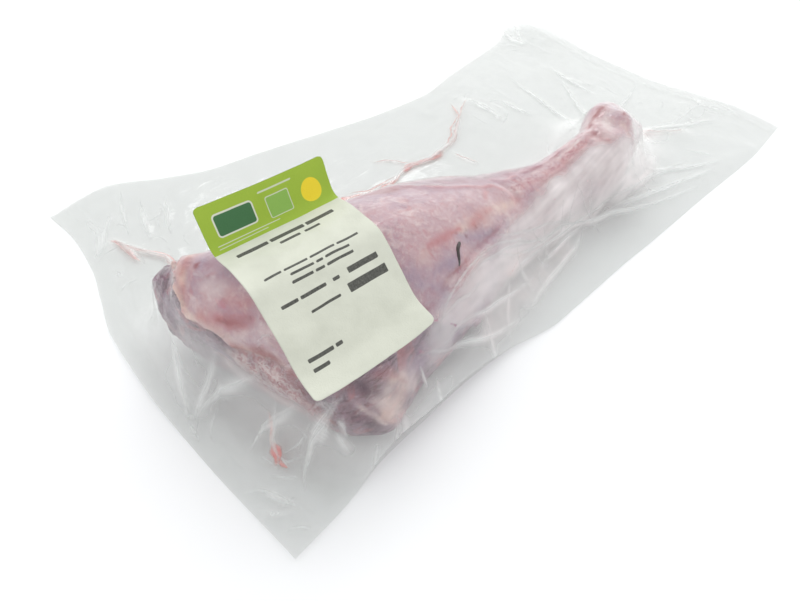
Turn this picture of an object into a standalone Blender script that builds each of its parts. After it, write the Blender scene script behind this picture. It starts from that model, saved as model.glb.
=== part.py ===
"""A raw turkey drumstick vacuum packed in a clear bag, with a paper label on top.

The bag is one closed solid: the thin flat sheet where its two films lie together, and the swell
where they are drawn over the drumstick. The label is a thin curved sheet of paper above it.
Sizes are in millimetres along the bag (x), across it (y, away from the near edge) and up (z),
and become metres when the meshes are filled in. The origin is under the middle of the box.
"""

import bmesh
import bpy
import numpy as np

MM = 0.001

# Bag: its four edges as drawn in by the vacuum, each as (along, offset) pairs
BAG_LENGTH = 450.0
BAG_WIDTH = 244.0
FAR_EDGE = [(-223, 123), (-190, 130), (-156, 115), (-127, 104), (-95, 100), (-41, 91), (0, 85),
            (40, 83), (84, 92), (130, 100), (165, 107), (188, 119), (217, 114)]
NEAR_EDGE = [(-226, -122), (-204, -120), (-177, -116), (-150, -115), (-125, -114), (-98, -115),
             (-57, -121), (0, -121), (33, -122), (95, -123), (166, -125), (227, -121)]
LEFT_EDGE = [(-122, -226), (-62, -232), (-22, -234), (17, -233), (45, -227), (67, -222), (95, -220),
             (123, -223)]
RIGHT_EDGE = [(-121, 227), (-89, 230), (-58, 223), (-10, 212), (32, 212), (80, 217), (114, 217)]
END_REACH = 14.0
FLANGE_THICKNESS = 1.4

# Drumstick: sections along x as (x, near side, ridge line, far side, top, underside)
SECTIONS = [(-212, -8, 0, 6, 22, 14), (-203, -46, -21, 1, 54, 6), (-183, -104, -49, -13, 69, 1),
            (-146, -107, -60, -21, 71.5, 0), (-110, -101, -62, -21, 65, 0), (-73, -91, -60, -24, 54, 0),
            (-37, -81, -60, -35, 43, 1), (0, -81, -61, -46, 39, 4), (37, -86, -61, -47, 43, 4),
            (63, -80, -56, -39, 44, 1), (83, -73, -50, -34, 38, 1), (95, -70, -51, -37, 31, 4),
            (104, -62, -52, -43, 22, 9)]
# Near flank along x as (x, height of its widest line as a share, roundness of its upper side)
NEAR_FLANK = [(-212, 0.5, 2.0), (-203, 0.42, 1.7), (-183, 0.30, 1.45), (-146, 0.28, 1.4), (-110, 0.28, 1.5),
              (-73, 0.32, 1.65), (-37, 0.42, 1.9), (0, 0.5, 2.1), (104, 0.5, 2.2)]
FAR_WIDEST = 0.5
FAR_ROUNDNESS = 2.3
UNDERSIDE_ROUNDNESS = 2.5
FLATTENED = 1.6

# Film: how it bridges from the meat to the sheet, and its raised pleats as (points, height)
CELL = 2.5
DRAPE_PASSES = 70
DRAPE_PULL = 0.035
ON_FLOOR = 0.05
FIN_HEIGHT = 7.0
FIN_REACH = 20.0
PLEAT_HALF_WIDTH = 4.5
PLEATS = [([(-83, 25), (-50, 22), (-23, 25), (-3, 23), (29, 36), (58, 53)], 1.3),
          ([(-207, 77), (-201, 57), (-192, 42), (-182, 20)], 1.5),
          ([(100, -57), (130, -59), (158, -80)], 1.2),
          ([(-188, -84), (-203, -88), (-210, -97)], 1.1),
          ([(-68, -107), (14, -92), (126, -112), (180, -118)], 1.0)]
CORNER_CURL = [(217, 114, 6.0, 40.0), (-226, -122, 2.5, 30.0)]

# Label: its profile from the near edge to the curled far end as (y, z), its middle x at both ends
LABEL_WIDTH = 56.0
LABEL_THICKNESS = 0.6
LABEL_GAP = 0.9
LABEL_PROFILE = [(-100, 47), (-89, 51), (-79, 58.5), (-70, 67), (-62, 72.5), (-48, 71), (-36, 69.5),
                 (-26, 85)]
LABEL_MIDDLE_NEAR = -166.0
LABEL_MIDDLE_FAR = -162.0
LABEL_CORNER = 3.0
LABEL_TILT = 3.0

# Divisions of the meshes: (end of the stretch in mm, cells) along the bag, and rows across it
BAG_COLUMNS = [(-213, 3), (-180, 10), (60, 34), (108, 9), (225, 10)]
NEAR_ROWS = 7
LEG_ROWS = 16
FAR_ROWS = 8
LEG_ROWS_HELD = (-196, 92)
LEG_MARGIN = 1.5
NARROWEST_MARGIN = 4.0
LABEL_CELLS = (14, 26)

LOOKS = {
    "bag": {"color": (0.72, 0.55, 0.56, 1.0), "roughness": 0.18, "metallic": 0.0},
    "label": {"color": (0.78, 0.79, 0.70, 1.0), "roughness": 0.55, "metallic": 0.0},
}


def smooth(pairs, x):
    """A smooth curve through pairs of numbers, which doesn't overshoot them, read at x."""
    knots = np.array([p[0] for p in pairs], float)
    values = np.array([p[1] for p in pairs], float)
    step = np.diff(knots)
    slope = np.diff(values) / step
    tangent = np.zeros(len(knots))
    tangent[0] = slope[0]
    tangent[-1] = slope[-1]
    product = slope[:-1] * slope[1:]
    inner = np.where(product > 0, 2 * product / np.where(product > 0, slope[:-1] + slope[1:], 1), 0)
    tangent[1:-1] = inner
    x = np.clip(x, knots[0], knots[-1])
    i = np.clip(np.searchsorted(knots, x, side="right") - 1, 0, len(step) - 1)
    t = (x - knots[i]) / step[i]
    blend = t * t * (3 - 2 * t)
    rise = (t - 2 * t**2 + t**3) * tangent[i] + (t**3 - t**2) * tangent[i + 1]
    return values[i] * (1 - blend) + values[i + 1] * blend + rise * step[i]


def column(table, index):
    return [(row[0], row[index]) for row in table]


def leg_surfaces(x, y):
    """The drumstick's upper and lower height at (x, y), and True where it is inside its outline."""
    near, ridge, far, top, low = (smooth(column(SECTIONS, i), x) for i in range(1, 6))
    share, roundness = (smooth(column(NEAR_FLANK, i), x) for i in (1, 2))
    on_far = y >= ridge
    reach = np.where(on_far, far - ridge, ridge - near)
    t = np.clip(np.abs(y - ridge) / reach, 0, 1)
    widest = low + (top - low) * np.where(on_far, FAR_WIDEST, share)
    up_power = np.where(on_far, FAR_ROUNDNESS, roundness)
    upper = widest + (top - widest) * (1 - t**up_power) ** (1 / up_power)
    down = (1 - t**UNDERSIDE_ROUNDNESS) ** (1 / UNDERSIDE_ROUNDNESS)
    lower = np.maximum(widest - (widest - low) * down - FLATTENED, 0)
    inside = (y > near) & (y < far) & (x > SECTIONS[0][0]) & (x < SECTIONS[-1][0])
    return upper, lower, inside


def distance_to_line(x, y, points):
    best = np.full(np.shape(x), 1e9)
    for (x0, y0), (x1, y1) in zip(points[:-1], points[1:]):
        along = ((x - x0) * (x1 - x0) + (y - y0) * (y1 - y0)) / ((x1 - x0) ** 2 + (y1 - y0) ** 2)
        along = np.clip(along, 0, 1)
        best = np.minimum(best, np.hypot(x - x0 - along * (x1 - x0), y - y0 - along * (y1 - y0)))
    return best


def neighbours(height):
    along = np.roll(height, 1, 0) + np.roll(height, -1, 0)
    across = np.roll(height, 1, 1) + np.roll(height, -1, 1)
    return (along + across) / 4


def sheet_height(x, y):
    """The underside of the sheet where the films lie together: on the floor, a fin near the meat."""
    near = smooth(column(SECTIONS, 1), x)
    far = smooth(column(SECTIONS, 3), x)
    beyond = np.maximum(np.maximum(near - y, y - far), 0)
    past_end = np.maximum(np.maximum(SECTIONS[0][0] - x, x - SECTIONS[-1][0]), 0)
    away = np.hypot(beyond, past_end)
    height = FIN_HEIGHT * np.exp(-((away / FIN_REACH) ** 2))
    for cx, cy, rise, reach in CORNER_CURL:
        height = height + rise * np.exp(-((x - cx) ** 2 + (y - cy) ** 2) / reach**2)
    for points, rise in PLEATS:
        near_line = distance_to_line(x, y, points) / PLEAT_HALF_WIDTH
        height = height + rise * np.exp(-(near_line**2))
    return height


def film_maps():
    """Height maps of the upper and lower film over the whole bag, drawn tight over the drumstick."""
    xs = np.arange(-BAG_LENGTH / 2 - 4 * CELL, BAG_LENGTH / 2 + 5 * CELL, CELL)
    ys = np.arange(-BAG_WIDTH / 2 - 4 * CELL, BAG_WIDTH / 2 + 6 * CELL, CELL)
    x, y = np.meshgrid(xs, ys, indexing="ij")
    upper, lower, inside = leg_surfaces(x, y)
    under = sheet_height(x, y)
    over = under + FLANGE_THICKNESS
    meat_top = np.where(inside, upper, over)
    meat_low = np.where(inside, lower, under)
    top = meat_top.copy()
    low = meat_low.copy()
    for _ in range(DRAPE_PASSES):
        top = np.maximum(meat_top, (1 - DRAPE_PULL) * neighbours(top) + DRAPE_PULL * over)
        low = np.minimum(meat_low, (1 - DRAPE_PULL) * neighbours(low) + DRAPE_PULL * under)
    top = np.maximum(top, over)
    low = np.clip(low, 0, under)
    return xs, ys, top, low


def read_map(xs, ys, heights, x, y):
    """A height map read at (x, y), straight between its cells."""
    i = np.clip(((x - xs[0]) / CELL).astype(int), 0, len(xs) - 2)
    j = np.clip(((y - ys[0]) / CELL).astype(int), 0, len(ys) - 2)
    u = np.clip((x - xs[i]) / CELL, 0, 1)
    v = np.clip((y - ys[j]) / CELL, 0, 1)
    return (heights[i, j] * (1 - u) * (1 - v) + heights[i + 1, j] * u * (1 - v)
            + heights[i, j + 1] * (1 - u) * v + heights[i + 1, j + 1] * u * v)


def stretches(start, parts):
    """Positions along stretches of even cells, from start to the end of each in turn."""
    values = [start]
    for end, cells in parts:
        values.extend(np.linspace(values[-1], end, cells + 1)[1:])
    return np.array(values)


def bag_grid():
    """Places of the bag's mesh points: columns along it, rows that follow the drumstick's sides."""
    across = stretches(-BAG_LENGTH / 2, BAG_COLUMNS)
    rows = NEAR_ROWS + LEG_ROWS + FAR_ROWS
    x = np.repeat(across[:, None], rows + 1, 1)
    held = np.clip(across, *LEG_ROWS_HELD)
    leg_near = smooth(column(SECTIONS, 1), held) - LEG_MARGIN
    leg_far = smooth(column(SECTIONS, 3), held) + LEG_MARGIN
    edge_near = smooth(NEAR_EDGE, across)
    edge_far = smooth(FAR_EDGE, across)
    leg_near = np.maximum(leg_near, edge_near + NARROWEST_MARGIN)
    y = np.zeros_like(x)
    for i in range(len(across)):
        outer = np.linspace(edge_near[i], leg_near[i], NEAR_ROWS + 1)
        swing = (1 - np.cos(np.pi * np.arange(1, LEG_ROWS) / LEG_ROWS)) / 2
        middle = leg_near[i] + (leg_far[i] - leg_near[i]) * swing
        beyond = leg_far[i] + (edge_far[i] - leg_far[i]) * (np.arange(FAR_ROWS + 1) / FAR_ROWS) ** 1.4
        y[i] = np.concatenate([outer, middle, beyond])
    half = BAG_LENGTH / 2
    x = x + (smooth(LEFT_EDGE, y) + half) * np.exp(-(x + half) / END_REACH)
    x = x + (smooth(RIGHT_EDGE, y) - half) * np.exp(-(half - x) / END_REACH)
    return x, y


def thick_sheet(name, shape, place):
    """A closed sheet from a grid that is extruded, with its points set by place(column, row, upper)."""
    mesh = bpy.data.meshes.new(name)
    bm = bmesh.new()
    bmesh.ops.create_grid(bm, x_segments=shape[0], y_segments=shape[1], size=1.0)
    lower = list(bm.verts)
    grown = bmesh.ops.extrude_face_region(bm, geom=list(bm.faces))
    upper = [g for g in grown["geom"] if isinstance(g, bmesh.types.BMVert)]
    for verts, is_upper in ((lower, False), (upper, True)):
        for vert in verts:
            i = round((vert.co.x + 1) / 2 * shape[0])
            j = round((vert.co.y + 1) / 2 * shape[1])
            vert.co = place(i, j, is_upper)
    bmesh.ops.recalc_face_normals(bm, faces=bm.faces)
    bm.to_mesh(mesh)
    bm.free()
    mesh.shade_smooth()
    return bpy.data.objects.new(name, mesh)


def make_bag(maps):
    xs, ys, top, low = maps
    x, y = bag_grid()
    upper = read_map(xs, ys, top, x, y)
    lower = read_map(xs, ys, low, x, y)
    lower = np.where(lower < ON_FLOOR, 0, lower)

    def place(i, j, is_upper):
        height = upper[i, j] if is_upper else lower[i, j]
        return (x[i, j] * MM, y[i, j] * MM, height * MM)

    return thick_sheet("bag", (x.shape[0] - 1, x.shape[1] - 1), place)


def label_rows(maps, cells):
    """The label's rows from the near edge to the far end, lifted clear of the film below them."""
    xs, ys, top, low = maps
    profile = np.array(LABEL_PROFILE, float)
    run = np.concatenate([[0], np.cumsum(np.hypot(*np.diff(profile, axis=0).T))])
    s = np.linspace(0, run[-1], cells + 1)
    y = smooth(list(zip(run, profile[:, 0])), s)
    z = smooth(list(zip(run, profile[:, 1])), s)
    part = s / run[-1]
    middle = LABEL_MIDDLE_NEAR + (LABEL_MIDDLE_FAR - LABEL_MIDDLE_NEAR) * part
    for k in range(len(s)):
        x = middle[k] + np.linspace(-0.5, 0.5, 23) * LABEL_WIDTH
        film = read_map(xs, ys, top, x, np.full_like(x, y[k]))
        z[k] = max(z[k], film.max() + LABEL_GAP)
    for _ in range(3):
        eased = z.copy()
        eased[1:-1] = (z[:-2] + z[1:-1] * 2 + z[2:]) / 4
        z = np.maximum(z, eased)
    return s, y, z, middle


def make_label(maps):
    columns, rows = LABEL_CELLS
    s, y, z, middle = label_rows(maps, rows)
    length = s[-1]

    def place(i, j, is_upper):
        from_end = min(s[j], length - s[j], LABEL_CORNER)
        inset = LABEL_CORNER - np.sqrt(LABEL_CORNER**2 - (LABEL_CORNER - from_end) ** 2)
        across = (i / columns - 0.5) * (LABEL_WIDTH - 2 * inset)
        rise = LABEL_THICKNESS if is_upper else 0.0
        skew = -LABEL_TILT * across / LABEL_WIDTH
        return ((middle[j] + across) * MM, (y[j] + skew) * MM, (z[j] + rise) * MM)

    return thick_sheet("label", LABEL_CELLS, place)


def give_look(obj, look):
    material = bpy.data.materials.new(obj.name)
    material.use_nodes = True
    shader = material.node_tree.nodes["Principled BSDF"]
    shader.inputs["Base Color"].default_value = look["color"]
    shader.inputs["Roughness"].default_value = look["roughness"]
    shader.inputs["Metallic"].default_value = look["metallic"]
    obj.data.materials.append(material)


def centre(objects):
    """Moves the meshes so that the origin is under the middle of the whole box."""
    corners = np.array([v.co for obj in objects for v in obj.data.vertices])
    middle = (corners.min(0) + corners.max(0)) / 2
    for obj in objects:
        for vert in obj.data.vertices:
            vert.co.x -= middle[0]
            vert.co.y -= middle[1]


def main():
    for obj in list(bpy.data.objects):
        bpy.data.objects.remove(obj, do_unlink=True)
    collection = bpy.data.collections.new("packed drumstick")
    bpy.context.scene.collection.children.link(collection)
    maps = film_maps()
    pieces = [make_bag(maps), make_label(maps)]
    centre(pieces)
    for piece in pieces:
        give_look(piece, LOOKS[piece.name])
        collection.objects.link(piece)


main()
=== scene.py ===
"""Looks of a raw turkey drumstick vacuum packed in a clear bag, with a paper label on top.

The bag's solid gives way to two sheets of film drawn over a drumstick, with the meat juice caught in
their creases, and the label's solid gives way to printed paper. Shapes are drawn in millimetres, as in
the part's own drawing: x runs along the bag towards the knuckle, y across it away from the near edge,
and z up. to_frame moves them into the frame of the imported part, in metres.
"""

import math

import bpy
import numpy as np
from bpy.props import FloatProperty, FloatVectorProperty, PointerProperty
from mathutils import Matrix, Vector
from mathutils.bvhtree import BVHTree


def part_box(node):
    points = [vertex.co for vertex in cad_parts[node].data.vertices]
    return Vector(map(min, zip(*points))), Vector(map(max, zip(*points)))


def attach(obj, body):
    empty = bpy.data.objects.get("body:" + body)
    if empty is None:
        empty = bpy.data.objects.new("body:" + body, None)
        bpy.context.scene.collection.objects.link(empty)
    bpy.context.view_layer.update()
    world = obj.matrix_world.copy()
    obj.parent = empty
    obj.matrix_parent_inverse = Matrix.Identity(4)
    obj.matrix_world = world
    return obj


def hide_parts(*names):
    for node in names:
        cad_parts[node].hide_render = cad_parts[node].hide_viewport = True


bl_info = {
    "name": "Vacuum packed drumstick",
    "version": (1, 0, 0),
    "blender": (4, 5, 0),
    "location": "View3D > Sidebar > Packed drumstick",
    "description": "Builds a raw drumstick in clear film with a paper label, and a studio for it",
    "category": "Object",
}

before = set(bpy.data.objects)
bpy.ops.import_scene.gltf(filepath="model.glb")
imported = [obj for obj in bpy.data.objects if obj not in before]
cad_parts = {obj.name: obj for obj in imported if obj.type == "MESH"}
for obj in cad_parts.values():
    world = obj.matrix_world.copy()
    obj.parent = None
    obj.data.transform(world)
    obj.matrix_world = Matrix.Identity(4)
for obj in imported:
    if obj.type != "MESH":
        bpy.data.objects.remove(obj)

MM = 0.001
ABOVE_ALL = 200.0
WHITE = (1.0, 1.0, 1.0)

# Bag: its four edges as drawn in by the vacuum, each as (along, offset) pairs
BAG_LENGTH = 450.0
BAG_WIDTH = 244.0
FAR_EDGE = [(-223, 123), (-190, 130), (-156, 115), (-127, 104), (-95, 100), (-41, 91), (0, 85),
            (40, 83), (84, 92), (130, 100), (165, 107), (188, 119), (217, 114)]
NEAR_EDGE = [(-226, -122), (-204, -120), (-177, -116), (-150, -115), (-125, -114), (-98, -115),
             (-57, -121), (0, -121), (33, -122), (95, -123), (166, -125), (227, -121)]
LEFT_EDGE = [(-122, -226), (-62, -232), (-22, -234), (17, -233), (45, -227), (67, -222), (95, -220),
             (123, -223)]
RIGHT_EDGE = [(-121, 227), (-89, 230), (-58, 223), (-10, 212), (32, 212), (80, 217), (114, 217)]
END_REACH = 14.0

# Drumstick: sections along x as (x, near side, ridge line, far side, top, underside)
SECTIONS = [(-212, -19, -9, -2, 35, 13), (-209, -33, -12, 3, 46, 7), (-203, -51, -21, 3, 54, 4),
            (-196, -75, -31, -3, 61, 2), (-183, -104, -49, -13, 69, 1),
            (-167, -112, -56, -17, 71, 0), (-146, -107, -60, -21, 71.5, 0), (-110, -101, -62, -21, 65, 0),
            (-73, -91, -60, -24, 54, 0), (-37, -81, -60, -36, 43, 1), (0, -81, -61, -48.5, 38.5, 4),
            (37, -86, -61, -50, 42, 4), (63, -80, -57, -41, 44, 1), (83, -73, -50, -34, 38, 1),
            (95, -70, -51, -37, 31, 4), (104, -62, -52, -43, 22, 9)]
# Near flank along x as (x, height of its widest line as a share, roundness of its upper side)
NEAR_FLANK = [(-212, 0.5, 2.0), (-203, 0.40, 1.7), (-183, 0.26, 1.45), (-167, 0.2, 1.4), (-146, 0.24, 1.4),
              (-110, 0.28, 1.5), (-73, 0.32, 1.65), (-37, 0.42, 1.9), (0, 0.5, 2.1), (104, 0.5, 2.2)]
FAR_WIDEST = 0.5
FAR_ROUNDNESS = 2.3
UNDERSIDE_ROUNDNESS = 2.5
FLATTENED = 1.6
MEAT_COLUMNS = [(-183, 70), (60, 200), (104, 68)]
MEAT_ROUND = 196
OUTLINE_STEPS = 960
CAP_RINGS = 6
CAP_DEPTH = 1.5
CAP_TIP = 0.1
MEAT_FLOOR = 0.6

# Cut end: height of the skin's edge at each bearing round the thigh, seen from above, in degrees
BEARING_CENTRE = (-150.0, -55.0)
SKIN_EDGE = [(100, 8), (122, 30), (132, 48), (140, 55), (147, 53), (151, 50), (156, 44), (164, 43),
             (170, 42), (176, 38), (183, 38), (192, 42), (200, 43), (207, 42), (214, 38), (222, 38),
             (240, 42), (262, 46), (280, 46), (292, 40), (302, 30), (312, 20), (325, 8), (340, 2), (359, 0)]

# Height above the edge that counts for bearings short of the list's first, where skin covers all
WELL_COVERED = 20.0
# The edge's tears as (size, seed, depth), how soft it is, and the raised rim of skin and fat above it
TORN_EDGE = [(14, 5, 3.0), (5, 9, 1.9), (2.6, 19, 1.1)]
EDGE_SOFTNESS = 0.8
RIM_AT, RIM_WIDTH, RIM_RISE = 1.6, 1.7, 0.9
FAT_AT, FAT_WIDTH, FAT_STRENGTH = 1.8, 2.6, 0.85
FAT_PATCHES = (3.4, 47, 1.1)
FAT_RIM_FROM = (186, 198)

# Surface of the meat, each as (size, seed, height)
BROAD_SWELL = (24, 11, 0.75)
SKIN_PUCKERS = (7, 13, 0.3)
CUT_STRANDS = (4.5, 17, 0.9)
CUT_LUMPS = (9, 19, 0.5)
SINEWS = (6, 29, 0.5)
FINE_SINEWS = (3.5, 33, 0.3)
SKIN_THICKNESS = 1.3
SHANK_FROM = (-70, -20)
ALONG_STRANDS = np.array([0.3, 1.0, 1.0])
ALONG_SINEWS = np.array([0.4, 1.0, 1.0])

# How the marks below wander and fade: wander in mm, its size and seeds, and patches as (size, seed, height)
MARK_WANDER = 2.2
WANDER_SIZE = 9
WANDER_SEEDS = (31, 37, 41)
FINEST_MARK = 1.6
FINE_WANDER = 0.4
MARK_LEVEL = 0.72
MARK_PATCHES = (5, 43, 0.5)

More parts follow.
